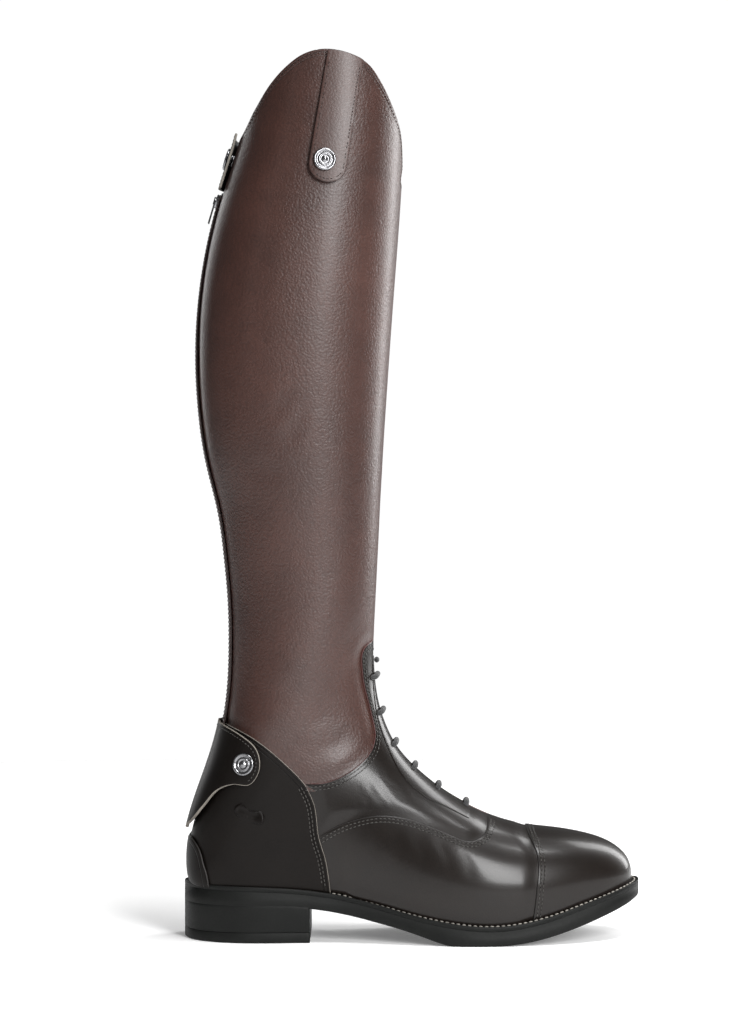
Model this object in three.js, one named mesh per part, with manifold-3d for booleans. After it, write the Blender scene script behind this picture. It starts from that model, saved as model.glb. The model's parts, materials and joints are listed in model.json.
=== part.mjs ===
// Tall riding boot for the right foot: brown shaft, black foot, rear zip, front lacing.
// Millimetres. +X to the toe, -Y to the outer side of the leg, +Z up, floor at z = 0.
import * as THREE from 'three';
import { mergeVertices } from 'three/addons/utils/BufferGeometryUtils.js';
import Module from 'manifold-3d';

const wasm = await Module();
wasm.setup();

// ---------- driving dimensions ----------
const OUTSOLE_LENGTH = 285;
const BOOT_HEIGHT = 552;
const WIDTH_FACTOR = 1; // breadth of every section, 1 is a regular fitting
const CLEARANCE = 0.3;

// the tables and places below are for these overall sizes and are scaled to the ones above
const NOMINAL_LENGTH = 285;
const NOMINAL_HEIGHT = 552;
const lengthwise = OUTSOLE_LENGTH / NOMINAL_LENGTH;
const upward = BOOT_HEIGHT / NOMINAL_HEIGHT;

const LEATHER = 1.9; // outer leather
const STIFFENER = 1.1; // tongue, toe puff and heel stiffener
const LINING = 1.0;
const OVERLAY = 1.4; // facings and backstay on top of the outer leather
const FLAP_THICKNESS = 2.0;
const STRAP_THICKNESS = 1.7;
const STRAP_STAND_OFF = 1.9; // room for the snap under a strap
const FLAP_STAND_OFF = 2.5; // room for the zip facings and the snap under a flap

const WELT_THICKNESS = 3;
const WELT_EXTENSION = 4.6;
const HEEL_EXTENSION = 2.6;
const INSOLE_THICKNESS = 2.6;
const INSOCK_THICKNESS = 2;
const SHANK_THICKNESS = 1.4;
const SHANK_WIDTH = 14;
const TOP_PIECE_THICKNESS = 6.5;
const HEEL_BREAST_X = 38;

const ZIP_GAP = 7; // half width of the slit in the leather
const ZIP_BOTTOM_Z = 96 * upward;
const ZIP_TOP_Z = 470 * upward;
const TEETH_HALF_WIDTH = 2.3;
const TEETH_PROUD = 1;
const FACING_OUTER_Y = ZIP_GAP + 3.5;
const CALF_RADIUS = 345;
const CALF_CENTRE = new THREE.Vector2(311.8, 366);

const LACE_DIAMETER = 3.4;
const LACE_HALF_SPAN = 7;
const LACE_GAP = 3.5; // half width of the gap between the lace facings
const SNAP_DIAMETER = 14;
const SNAP_DOME = 2.2;
const SEAM_GAP = 0.3; // half the gap that two butted pieces keep

// ---------- the boot's outer surface ----------
const calfX = (z) => CALF_CENTRE.x - Math.sqrt(CALF_RADIUS ** 2 - (z - CALF_CENTRE.y) ** 2);

// Sections from the toe over the instep up the leg. Each is a flat ring whose front (or top)
// and back (or bottom) points lie in the middle plane.
const FRONT_X = 0;
const FRONT_Z = 1;
const BACK_X = 2;
const BACK_Z = 3;
const HALF_WIDTH = 4;
const SOLE_HALF_WIDTH = 5;
const WIDEST_AT = 6;
const FRONT_ROUND = 7;
const BACK_ROUND = 8;
const SIDEWAYS = 9;
const WELT_TOP = 10;
const SOLE_BOTTOM = 11;
const SECTIONS = [
  [241.8, 40.5, 241.4, 33.5, 3, 2.5, 0.5, 2, 2, 7, 34.5, 24],
  [239.8, 47, 240.4, 33.2, 10, 9, 0.6, 2, 2, 7, 34.2, 23.5],
  [235.5, 53, 236.5, 32, 18, 16.5, 0.65, 2, 2, 7, 33, 21.7],
  [225, 60, 226, 28.6, 28, 26, 0.7, 2.1, 2, 6.5, 29.6, 17.5],
  [208, 65.2, 208, 23, 37, 34.5, 0.7, 2.2, 2.2, 5, 24, 11],
  [190, 68.2, 190, 17.3, 42.5, 39.5, 0.7, 2.2, 2.2, 3, 18.3, 5.5],
  [172, 70.6, 171, 12.9, 45.8, 42.5, 0.7, 2.2, 2.2, 1, 13.9, 1.5],
  [154, 75.6, 150, 11.1, 47.3, 43.5, 0.7, 2.15, 2.2, -1, 12.1, -0.6],
  [137, 83.3, 128, 12.8, 46.8, 42, 0.68, 2.1, 2.2, -2, 13.8, -0.6],
  [119, 94.2, 104, 17.1, 43.5, 36.5, 0.66, 2.05, 2.1, -2, 18.1, 6.5],
  [103.5, 107, 80, 23.3, 39.8, 31.5, 0.62, 2, 2.1, -1.2, 24.3, 13],
  [92.5, 119.5, 55, 29, 37.2, 29.5, 0.58, 2, 2.1, -0.5, 30, 18.6],
  [85.3, 133.5, 28, 32.6, 36, 31.5, 0.56, 2, 2.1, 0, 33.6, 22],
  [81, 147, 2, 34, 36.2, 33, 0.54, 2, 2.2, 0, 35, 22.4],
  [78.8, 160, -20, 34.6, 37, 28, 0.52, 2, 2.3, 0, 35.6, 22.4],
  [78, 171, -33.5, 35.5, 37.6, 17, 0.5, 2, 2.4, 0, 35.9, 22.4],
  [77.8, 179, -38.3, 40, 38, 5, 0.5, 2, 2.5, 0, 35.9, 22.4],
  [77.9, 187, -39.3, 52, 38.2, 0, 0.5, 2, 2.5, 0, 35.9, 22.4],
  [78.1, 195.5, -37, 68, 38.6, 0, 0.5, 2.05, 2.4, 0, 35.9, 22.4],
  [78.6, 205, -30.8, 89, 39, 0, 0.5, 2.05, 2.3, 0, 35.9, 22.4],
  [79.1, 215, -23, 111, 39.3, 0, 0.5, 2.1, 2.2, 0, 35.9, 22.4],
  [79.7, 227, -16.6, 134, 39.8, 0, 0.5, 2.1, 2.15, 0, 35.9, 22.4],
  [80.4, 241, -13.2, 158, 40.5, 0, 0.5, 2.1, 2.1, 0, 35.9, 22.4],
  [81.2, 257, -12.2, 184, 41.3, 0, 0.5, 2.1, 2.1, 0, 35.9, 22.4],
  [82, 274, -12.8, 212, 42.8, 0, 0.5, 2.1, 2.1, 0, 35.9, 22.4],
  [83, 292, -15.4, 241, 45.2, 0, 0.5, 2.1, 2.1, 0, 35.9, 22.4],
  [84.2, 313, calfX(270), 270, 47.8, 0, 0.5, 2.1, 2.1, 0, 35.9, 22.4],
  [85.7, 336, calfX(300), 300, 50.4, 0, 0.5, 2.15, 2.15, 0, 35.9, 22.4],
  [87.4, 361, calfX(332), 332, 53, 0, 0.5, 2.15, 2.15, 0, 35.9, 22.4],
  [89.3, 388, calfX(366), 366, 55.2, 0, 0.5, 2.15, 2.15, 0, 35.9, 22.4],
  [91.4, 416, calfX(402), 402, 56.6, 0, 0.5, 2.2, 2.2, 0, 35.9, 22.4],
  [93.6, 445, calfX(438), 438, 57.2, 0, 0.5, 2.2, 2.2, 0, 35.9, 22.4],
  [95.6, 475, calfX(472), 472, 57.2, 0, 0.5, 2.2, 2.2, 0, 35.9, 22.4],
  [97.2, 505, -6.4, 505, 56.8, 0, 0.5, 2.2, 2.2, 0, 35.9, 22.4],
  [97.8, 533, -1.6, 533, 56, 0, 0.5, 2.2, 2.2, 0, 35.9, 22.4],
  [98, 562, 2, 562, 55, 0, 0.5, 2.2, 2.2, 0, 35.9, 22.4],
];
const LENGTHWISE_COLUMNS = [FRONT_X, BACK_X];
const UPWARD_COLUMNS = [FRONT_Z, BACK_Z, WELT_TOP, SOLE_BOTTOM];
const CROSSWISE_COLUMNS = [HALF_WIDTH, SOLE_HALF_WIDTH, SIDEWAYS];
const TOP_SECTION = SECTIONS.length - 1;
const HEEL_BACK_SECTION = 16.45;
const ANKLE_SECTION = 22;

// natural cubic spline through evenly spaced values
function spline(values) {
  const n = values.length;
  const bend = new Array(n).fill(0);
  const work = new Array(n).fill(0);
  for (let i = 1; i < n - 1; i += 1) {
    const p = 0.5 * bend[i - 1] + 2;
    bend[i] = -0.5 / p;
    work[i] = (3 * (values[i + 1] - 2 * values[i] + values[i - 1]) - 0.5 * work[i - 1]) / p;
  }
  for (let i = n - 2; i > 0; i -= 1) bend[i] = bend[i] * bend[i + 1] + work[i];
  bend[0] = 0;
  return (t) => {
    const i = Math.min(Math.max(Math.floor(t), 0), n - 2);
    const b = t - i;
    const a = 1 - b;
    const curve = ((a ** 3 - a) * bend[i] + (b ** 3 - b) * bend[i + 1]) / 6;
    return a * values[i] + b * values[i + 1] + curve;
  };
}

function columnScale(column) {
  if (LENGTHWISE_COLUMNS.includes(column)) return lengthwise;
  if (UPWARD_COLUMNS.includes(column)) return upward;
  return CROSSWISE_COLUMNS.includes(column) ? WIDTH_FACTOR : 1;
}
const columns = SECTIONS[0].map((_, c) => spline(SECTIONS.map((row) => row[c] * columnScale(c))));

// front or back line of the boot, moved outward by offset
function edgePoint(s, xColumn, zColumn, offset) {
  const step = 0.02;
  const dx = columns[xColumn](s + step) - columns[xColumn](s - step);
  const dz = columns[zColumn](s + step) - columns[zColumn](s - step);
  const length = Math.hypot(dx, dz) || 1;
  const side = xColumn === FRONT_X ? 1 : -1;
  const toeLimit = columns[FRONT_X](0) + offset;
  const x = columns[xColumn](s) + (side * dz * offset) / length;
  const z = columns[zColumn](s) - (side * dx * offset) / length;
  return new THREE.Vector2(Math.min(x, toeLimit), z);
}

// half width of section s at share f of the way from its front point to its back point
function halfWidthAt(s, f, offset) {
  const widest = columns[WIDEST_AT](s);
  const sole = Math.max(columns[SOLE_HALF_WIDTH](s), 0);
  const soleOffset = offset * Math.min(1, sole / 10);
  const bottom = s > HEEL_BACK_SECTION + 0.5 ? 0 : Math.max(sole + soleOffset, 0);
  const full = Math.max(columns[HALF_WIDTH](s) + offset, 0.4);
  if (f < widest) {
    const n = columns[FRONT_ROUND](s);
    return full * Math.max(1 - ((widest - f) / widest) ** n, 0) ** (1 / n);
  }
  const n = columns[BACK_ROUND](s);
  const along = Math.min((f - widest) / (1 - widest), 1);
  return bottom + Math.max(full - bottom, 0) * Math.max(1 - along ** n, 0) ** (1 / n);
}

// Point of the surface: q runs from 0 on the front line to 1 on the outer side's lower or
// back edge, and to -1 on the inner side.
function surfacePoint(s, q, offset) {
  const front = edgePoint(s, FRONT_X, FRONT_Z, offset);
  const back = edgePoint(s, BACK_X, BACK_Z, offset);
  const f = (1 - Math.cos(Math.PI * Math.abs(q))) / 2;
  const y = columns[SIDEWAYS](s) - Math.sign(q) * halfWidthAt(s, f, offset);
  return new THREE.Vector3(front.x + (back.x - front.x) * f, y, front.y + (back.y - front.y) * f);
}

// ---------- solids ----------
function toSolid(geometry) {
  const bare = geometry.clone();
  bare.deleteAttribute('normal');
  bare.deleteAttribute('uv');
  const merged = mergeVertices(bare, 1e-4);
  const index = merged.index.array;
  const kept = [];
  for (let i = 0; i < index.length; i += 3) {
    const [a, b, c] = [index[i], index[i + 1], index[i + 2]];
    if (a !== b && b !== c && c !== a) kept.push(a, b, c);
  }
  return new wasm.Manifold(new wasm.Mesh({
    numProp: 3,
    vertProperties: Float32Array.from(merged.attributes.position.array),
    triVerts: Uint32Array.from(kept),
  }));
}

function toGeometry(solid) {
  const mesh = solid.getMesh();
  const geometry = new THREE.BufferGeometry();
  geometry.setAttribute('position', new THREE.BufferAttribute(mesh.vertProperties.slice(), 3));
  geometry.setIndex(new THREE.BufferAttribute(mesh.triVerts.slice(), 1));
  geometry.computeVertexNormals();
  return geometry;
}

// closed body through rings of equally many points, each counter-clockwise seen from the next
function loft(rings, closed = false) {
  const count = rings[0].length;
  const positions = rings.flat().flatMap((p) => [p.x, p.y, p.z]);
  const index = [];
  const last = closed ? rings.length : rings.length - 1;
  for (let i = 0; i < last; i += 1) {
    const here = i * count;
    const next = ((i + 1) % rings.length) * count;
    for (let j = 0; j < count; j += 1) {
      const k = (j + 1) % count;
      index.push(here + j, here + k, next + k, here + j, next + k, next + j);
    }
  }
  if (!closed) {
    for (const [ring, flip] of [[0, true], [rings.length - 1, false]]) {
      const centre = new THREE.Vector3();
      rings[ring].forEach((p) => centre.add(p));
      centre.divideScalar(count);
      const hub = positions.length / 3;
      positions.push(centre.x, centre.y, centre.z);
      for (let j = 0; j < count; j += 1) {
        const a = ring * count + j;
        const b = ring * count + ((j + 1) % count);
        index.push(...(flip ? [hub, b, a] : [hub, a, b]));
      }
    }
  }
  const geometry = new THREE.BufferGeometry();
  geometry.setAttribute('position', new THREE.Float32BufferAttribute(positions, 3));
  geometry.setIndex(index);
  const solid = toSolid(geometry);
  if (solid.volume() > 0) return solid;
  const reversed = geometry.clone();
  reversed.setIndex(index.reverse());
  return toSolid(reversed);
}

const TOE_STEPS = [0, 0.5, 1, 2, 3, 4, 5, 6, 7, 8, 9, 10, 11, 12, 13, 14];
const HEEL_STEPS = [15, 15.7, HEEL_BACK_SECTION];
const ANKLE_STEPS = [17, 18, 19, 20, 20.7, 21.4];
// the hollow of the ankle takes closer steps than the leg above it
const LEG_STEPS = [];
for (let s = ANKLE_SECTION; s < TOP_SECTION; s += s < ANKLE_SECTION + 4 ? 0.5 : 1) LEG_STEPS.push(s);
LEG_STEPS.push(TOP_SECTION);
// places on each side of a ring, closest together where it turns round the back
const SIDE_PLACES = [0.11, 0.22, 0.33, 0.44, 0.55, 0.66, 0.77, 0.87, 0.94, 1];

function ringAt(s, offset) {
  const inner = [...SIDE_PLACES].reverse().map((q) => surfacePoint(s, -q, offset));
  const outer = SIDE_PLACES.map((q) => surfacePoint(s, q, offset));
  return [...inner, surfacePoint(s, 1e-9, offset), ...outer];
}

const filled = new Map();
function body(offset, steps) {
  const key = `${offset} ${steps[0]} ${steps.length}`;
  if (!filled.has(key)) filled.set(key, loft(steps.map((s) => ringAt(s, offset))));
  return filled.get(key);
}
const ALL_STEPS = [...TOE_STEPS, ...HEEL_STEPS, ...ANKLE_STEPS, ...LEG_STEPS];
const LEG_ONLY = [14, ...HEEL_STEPS, ...ANKLE_STEPS, ...LEG_STEPS];
const shell = (outer, inner, steps = ALL_STEPS) => body(outer, steps).subtract(body(inner, steps));

// outline [x, z] drawn in the side view, made a slab between two values of y
function sideSlab(outline, from = -200, to = 200) {
  const points = outline.map(([x, z]) => new THREE.Vector2(x * lengthwise, z * upward));
  const geometry = new THREE.ExtrudeGeometry(new THREE.Shape(points), {
    depth: to - from,
    bevelEnabled: false,
  });
  return toSolid(geometry.rotateX(Math.PI / 2).translate(0, to, 0));
}

function block(x0, x1, y0, y1, z0, z1) {
  const geometry = new THREE.BoxGeometry(x1 - x0, y1 - y0, z1 - z0);
  return toSolid(geometry.translate((x0 + x1) / 2, (y0 + y1) / 2, (z0 + z1) / 2));
}
const FAR = 400;
const outerSide = (y) => block(-FAR, FAR, -FAR, y, -FAR, 2 * FAR);
const innerSide = (y) => block(-FAR, FAR, y, FAR, -FAR, 2 * FAR);

// smooth line through a few points, as straight steps
function smoothLine(points, divisions = 3) {
  const curve = new THREE.CatmullRomCurve3(
    points.map(([x, z]) => new THREE.Vector3(x, z, 0)),
    false,
    'centripetal',
  );
  return curve.getPoints(divisions * (points.length - 1)).map((p) => [p.x, p.y]);
}
// the same line moved to its left, seen along its own direction
function beside(line, distance) {
  return line.map(([x, z], i) => {
    const [x0, z0] = line[Math.max(i - 1, 0)];
    const [x1, z1] = line[Math.min(i + 1, line.length - 1)];
    const length = Math.hypot(x1 - x0, z1 - z0);
    return [x - ((z1 - z0) * distance) / length, z + ((x1 - x0) * distance) / length];
  });
}

// ---------- seam lines in the side view ----------
const capSeam = smoothLine([[174.6, 84], [174.6, 70], [180, 54], [179, 33], [175.5, 5]]);
const vampSeam = smoothLine([
  [151, 98], [150.6, 77], [146, 67], [137.5, 63.8], [118, 70.6], [98, 77.5], [80, 79.2],
  [60, 74.4], [43.5, 65.8],
]);
const counterTop = smoothLine([[-50, 139], [-24, 137], [1.9, 127.8], [26.4, 108], [34.8, 98.8]]);
const counterFront = smoothLine([[34.8, 98.8], [40.6, 86], [43.5, 65.8], [48, 50], [52, 15]]);
const shaftSeam = smoothLine([
  [34.8, 98.8], [50, 100.2], [65.5, 107.8], [76, 118], [79, 128], [76, 144], [71.4, 164],
  [71.6, 181], [79.5, 187.3], [100, 188],
]);
const REAR = -90;
const TOP = 800;
const FRONT = 260;
const FLOOR = -20;
const g = SEAM_GAP;
const VAMP_CORNER_Z = 65.8;

const capRegion = [...beside(capSeam, g), [FRONT, FLOOR], [FRONT, 84]];
const counterRegion = [
  ...beside(counterTop, -g), ...beside(counterFront, -g).slice(1), [52, FLOOR], [REAR, FLOOR],
];
const vampRegion = [
  ...beside(vampSeam, g), ...beside(counterFront, g).filter(([, z]) => z < VAMP_CORNER_Z - 1),
  [52 + g, FLOOR], ...beside(capSeam, -g).reverse(), [160, 98],
];
const quarterRegion = [
  ...beside(shaftSeam, -g), [160, 188], [160, 98], ...beside(vampSeam, -g),
  ...beside(counterFront, g).filter(([, z]) => z > VAMP_CORNER_Z + 1 && z < 97).reverse(),
];
const shaftRegion = [
  ...beside(counterTop, g), ...beside(shaftSeam, g).slice(1), [FRONT, 188], [FRONT, TOP],
  [REAR, TOP], [REAR, 139],
];

// the arched top edge, higher on the outer side of the leg
const outerArch = smoothLine([
  [120, 474], [95.4, 474.5], [96, 486], [94.6, 506], [89, 521], [82, 534], [74, 544], [60, 550.5], [46, 552],
  [34, 549], [23.5, 542], [13.5, 532], [3.7, 518], [-8, 501], [-30, 494],
]);
const innerArch = smoothLine([[120, 474], [95.4, 474.5], [60, 484], [20, 493], [-8, 501], [-30, 494]]);
const aboveTop = sideSlab([...outerArch, [-60, TOP], [120, TOP]], -200, 0)
  .add(sideSlab([...innerArch, [-60, TOP], [120, TOP]], 0, 200));

// ---------- sole outlines ----------
const SOLE_STEPS = [...TOE_STEPS, ...HEEL_STEPS];

// points on both sides of the sole at each step, moved outward by extension(s)
function soleSides(extension) {
  const rim = [];
  const add = (s, side) => {
    const x = columns[BACK_X](s);
    const half = Math.max(columns[SOLE_HALF_WIDTH](s), 0.3);
    rim.push({ s, x, y: columns[SIDEWAYS](s) + side * half });
  };
  SOLE_STEPS.forEach((s) => add(s, -1));
  [...SOLE_STEPS].reverse().forEach((s) => add(s, 1));
  const grown = rim.map((point, i) => {
    const before = rim[(i + rim.length - 1) % rim.length];
    const after = rim[(i + 1) % rim.length];
    const dx = after.x - before.x;
    const dy = after.y - before.y;
    const length = Math.hypot(dx, dy);
    const e = extension(point.s);
    return new THREE.Vector2(point.x - (dy * e) / length, point.y + (dx * e) / length);
  });
  const half = SOLE_STEPS.length;
  return SOLE_STEPS.map((s, i) => ({ s, outer: grown[i], inner: grown[2 * half - 1 - i] }));
}

// plate between two heights that follow the sole from toe to heel
function solePlate(extension, topAt, bottomAt, from = 0, to = HEEL_BACK_SECTION) {
  const rings = soleSides(extension).filter(({ s }) => s >= from && s <= to).map((row) => {
    const corner = (at, heightAt) => new THREE.Vector3(at.x, at.y, heightAt(at.x));
    return [
      corner(row.outer, topAt),
      corner(row.inner, topAt),
      corner(row.inner, bottomAt),
      corner(row.outer, bottomAt),
    ];
  });
  return loft(rings);
}

// value of a column where the back or bottom line passes under x, carried on straight past
// the toe and the heel
function underneath(column, x) {
  const toe = columns[BACK_X](0);
  if (x > toe) {
    const inset = 2;
    const run = toe - columns[BACK_X](inset);
    return columns[column](0) + ((columns[column](0) - columns[column](inset)) * (x - toe)) / run;
  }
  let low = 0;
  let high = HEEL_BACK_SECTION;
  for (let i = 0; i < 40; i += 1) {
    const middle = (low + high) / 2;
    if (columns[BACK_X](middle) > x) low = middle;
    else high = middle;
  }
  return columns[column](low);
}
const weltTop = (x) => underneath(WELT_TOP, x);
const soleBottom = (x) => Math.max(underneath(SOLE_BOTTOM, x), 0);
const weltBottom = (x) => weltTop(x) - WELT_THICKNESS;
// the sole stands out least at the heel
function soleExtension(s) {
  const share = THREE.MathUtils.smoothstep(s, 9.5, 12.5);
  return THREE.MathUtils.lerp(WELT_EXTENSION, HEEL_EXTENSION, share);
}

const underUpper = solePlate(soleExtension, (x) => weltTop(x) + CLEARANCE, (x) => weltTop(x) - 60);
const liningDepth = LEATHER + CLEARANCE + STIFFENER + CLEARANCE;
const footDepth = liningDepth + LINING;
const underFoot = solePlate(() => -footDepth - 0.1, (x) => weltTop(x) + 6, (x) => weltTop(x) - 60);

// ---------- leather uppers ----------
const leather = shell(0, -LEATHER).subtract(underUpper).subtract(underFoot);
const aroundZip = block(-FAR, 30 * lengthwise, -ZIP_GAP, ZIP_GAP, ZIP_BOTTOM_Z - 3, TOP);

const makeToeCap = () => leather.intersect(sideSlab(capRegion));
const makeVamp = () => leather.intersect(sideSlab(vampRegion));
const makeCounter = () => leather.intersect(sideSlab(counterRegion)).subtract(aroundZip);
const makeShaft = () => leather.intersect(sideSlab(shaftRegion)).subtract(aboveTop)
  .subtract(aroundZip);
const makeQuarter = (side) => leather.intersect(sideSlab(quarterRegion))
  .intersect(side < 0 ? outerSide(-LACE_GAP) : innerSide(LACE_GAP));

const beneathLeather = LEATHER + CLEARANCE;
const stiffenerLayer = shell(-beneathLeather, -beneathLeather - STIFFENER)
  .subtract(underUpper).subtract(underFoot);
const makeToePuff = () => stiffenerLayer
  .intersect(sideSlab([[186, FLOOR], [FRONT, FLOOR], [FRONT, 90], [186, 90]]));
const makeHeelStiffener = () => stiffenerLayer
  .intersect(sideSlab([[REAR, FLOOR], [42, FLOOR], [36, 60], [10, 84], [REAR, 84]]));
const makeTongue = () => stiffenerLayer
  .intersect(block(60 * lengthwise, 149 * lengthwise, -20, 20, 66 * upward, 196 * upward));

const liningLayer = shell(-liningDepth, -footDepth).subtract(underUpper).subtract(underFoot);
const LINING_SPLIT_Z = 150 * upward;
const makeFootLining = () => liningLayer
  .intersect(block(-FAR, FAR, -FAR, FAR, FLOOR, LINING_SPLIT_Z - g))
  .subtract(aroundZip);
const makeShaftLining = () => liningLayer
  .intersect(block(-FAR, FAR, -FAR, FAR, LINING_SPLIT_Z + g, TOP))
  .subtract(aboveTop).subtract(aroundZip);

// ---------- pieces on top of the leather ----------
const overlayLayer = shell(CLEARANCE + OVERLAY, CLEARANCE).subtract(underUpper);
const facingRegion = [
  ...smoothLine([[77, 171], [79.6, 142], [86, 122], [96, 103], [109, 91], [123, 84], [137, 77]]),
  [147, 78], [147, 110], [100, 185], [77, 185],
];
const makeFacing = (side) => overlayLayer.intersect(sideSlab(facingRegion))
  .intersect(side < 0 ? outerSide(-LACE_GAP) : innerSide(LACE_GAP));
const backstayRegion = [
  ...smoothLine([[-50, 66], [-38, 65], [-31, 58], [-27.6, 48], [-25.2, 35]]),
  [-25, FLOOR], [REAR, FLOOR],
];
const makeBackstay = () => overlayLayer.intersect(sideSlab(backstayRegion));

const flapLayer = shell(FLAP_STAND_OFF + FLAP_THICKNESS, FLAP_STAND_OFF, LEG_ONLY);
const flapRegion = smoothLine([
  [-60, 137], [-21, 136.4], [-10, 132.3], [-1.5, 127.3], [4.7, 122], [7.6, 115], [7.2, 107],
  [2, 99.4], [-8, 98.8], [-17, 94.6], [-26, 83.5], [-36, 71], [-42, 67.5], [-60, 67],
]);
const FLAP_HINGE_Y = 20;
const makeHeelFlap = () => flapLayer.intersect(sideSlab(flapRegion)).intersect(outerSide(FLAP_HINGE_Y));
const makeFlapRoot = () => overlayLayer
  .intersect(sideSlab([[REAR, 80], [20, 80], [20, 133], [REAR, 133]]))
  .intersect(block(-FAR, 20 * lengthwise, FLAP_HINGE_Y + 0.8, FLAP_HINGE_Y + 8, 0, TOP));

const tabLayer = shell(FLAP_STAND_OFF + OVERLAY, FLAP_STAND_OFF, LEG_ONLY);
const TAB_HINGE_Y = 14;
const TAB_REACH = 13;
const TAB_BOTTOM_Z = 471 * upward;
const TAB_TOP_Z = 505 * upward;
function tabOutline() {
  const middle = (TAB_BOTTOM_Z + TAB_TOP_Z) / 2;
  const half = (TAB_TOP_Z - TAB_BOTTOM_Z) / 2;
  const shape = new THREE.Shape();
  const shoulder = 11 - TAB_REACH;
  const tip = -TAB_REACH - 1;
  shape.moveTo(TAB_HINGE_Y, middle - half);
  shape.lineTo(shoulder, middle - half);
  shape.bezierCurveTo(tip, middle - half, tip, middle + half, shoulder, middle + half);
  shape.lineTo(TAB_HINGE_Y, middle + half);
  return shape;
}
function makeRearTab() {
  const geometry = new THREE.ExtrudeGeometry(tabOutline(), {
    depth: 100, bevelEnabled: false, curveSegments: 8,
  });
  // the outline's x becomes y and its y becomes z, so that it faces the rear
  const turn = new THREE.Matrix4().set(0, 0, 1, -70, 1, 0, 0, 0, 0, 1, 0, 0, 0, 0, 0, 1);
  return tabLayer.intersect(toSolid(geometry.applyMatrix4(turn)));
}
const makeTabRoot = () => overlayLayer.subtract(aboveTop).intersect(
  block(-FAR, 40 * lengthwise, TAB_HINGE_Y + 0.8, TAB_HINGE_Y + 9, TAB_BOTTOM_Z + 1, TAB_TOP_Z - 4),
);

// dress strap on the outer side, from the top edge down to a snap
const strapLayer = shell(STRAP_STAND_OFF + STRAP_THICKNESS, STRAP_STAND_OFF, LEG_ONLY);
const STRAP_WIDTH = 21.4;
const STRAP_TIP = new THREE.Vector2(47.3, 470);
const STRAP_LEAN = THREE.MathUtils.degToRad(9.3);
const STRAP_HINGE = 62; // from the tip up to where the strap is sewn down
const STRAP_LENGTH = 96;
const strapAxis = new THREE.Vector2(Math.sin(STRAP_LEAN), Math.cos(STRAP_LEAN));
const strapAcross = new THREE.Vector2(strapAxis.y, -strapAxis.x);
const strapPoint = (along, across) => [
  STRAP_TIP.x + strapAxis.x * along + strapAcross.x * across,
  STRAP_TIP.y + strapAxis.y * along + strapAcross.y * across,
];
function strapRegion(from, to) {
  const half = STRAP_WIDTH / 2;
  const outline = [strapPoint(to, half), strapPoint(to, -half)];
  if (from > 0) return [...outline, strapPoint(from, -half), strapPoint(from, half)];
  for (let i = 0; i <= 10; i += 1) {
    const angle = (Math.PI * i) / 10;
    outline.push(strapPoint(half * (1 - Math.sin(angle)), -half * Math.cos(angle)));
  }
  return outline;
}
const STRAP_HINGE_GAP = 1.2; // on each side of the hinge line, so that the lifted strap clears its root
const makeStrap = () => strapLayer
  .intersect(sideSlab(strapRegion(0, STRAP_HINGE - STRAP_HINGE_GAP), -200, 0));
const makeStrapRoot = () => strapLayer
  .intersect(sideSlab(strapRegion(STRAP_HINGE + STRAP_HINGE_GAP, STRAP_LENGTH), -200, 0))
  .subtract(aboveTop);

// ---------- pieces that follow the back line ----------
function sectionAtBack(z) {
  let low = HEEL_BACK_SECTION;
  let high = TOP_SECTION;
  for (let i = 0; i < 40; i += 1) {
    const middle = (low + high) / 2;
    if (columns[BACK_Z](middle) < z) low = middle;
    else high = middle;
  }
  return (low + high) / 2;
}
// point near the back line at sideways place y
function backPoint(s, y, offset) {
  let low = 0.7;
  let high = 1;
  for (let i = 0; i < 40; i += 1) {
    const middle = (low + high) / 2;
    if (Math.abs(surfacePoint(s, middle, offset).y) > Math.abs(y)) low = middle;
    else high = middle;
  }
  const point = surfacePoint(s, (low + high) / 2, offset);
  return new THREE.Vector3(point.x, y, point.z);
}
const RAIL_STEP = 14;
function backRail(fromZ, toZ, fromY, toY, inner, outer) {
  const steps = Math.ceil((toZ - fromZ) / RAIL_STEP);
  const across = Math.max(1, Math.ceil(Math.abs(toY - fromY) / 2.7));
  const rings = [];
  for (let i = 0; i <= steps; i += 1) {
    const s = sectionAtBack(fromZ + ((toZ - fromZ) * i) / steps);
    const ring = [];
    for (let j = 0; j <= across; j += 1) {
      ring.push(backPoint(s, fromY + ((toY - fromY) * j) / across, outer));
    }
    for (let j = across; j >= 0; j -= 1) {
      ring.push(backPoint(s, fromY + ((toY - fromY) * j) / across, inner));
    }
    rings.push(ring);
  }
  return loft(rings);
}
const tapeEdge = TEETH_HALF_WIDTH + 0.2;
const makeTape = (side) => backRail(
  ZIP_BOTTOM_Z, ZIP_TOP_Z, side * tapeEdge, side * (ZIP_GAP - CLEARANCE), -1.7, -0.9,
);
const makeTeeth = (side) => backRail(
  ZIP_BOTTOM_Z + 3, ZIP_TOP_Z - 3, side * 0.2, side * TEETH_HALF_WIDTH, -1.5, TEETH_PROUD,
);
const makeZipFacing = (side) => backRail(
  ZIP_BOTTOM_Z, TAB_BOTTOM_Z - 4, side * (TEETH_HALF_WIDTH + CLEARANCE), side * FACING_OUTER_Y,
  CLEARANCE, CLEARANCE + OVERLAY,
);
const makeStop = (fromZ, toZ) => backRail(
  fromZ, toZ, -TEETH_HALF_WIDTH, TEETH_HALF_WIDTH, -0.6, TEETH_PROUD,
);

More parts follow.
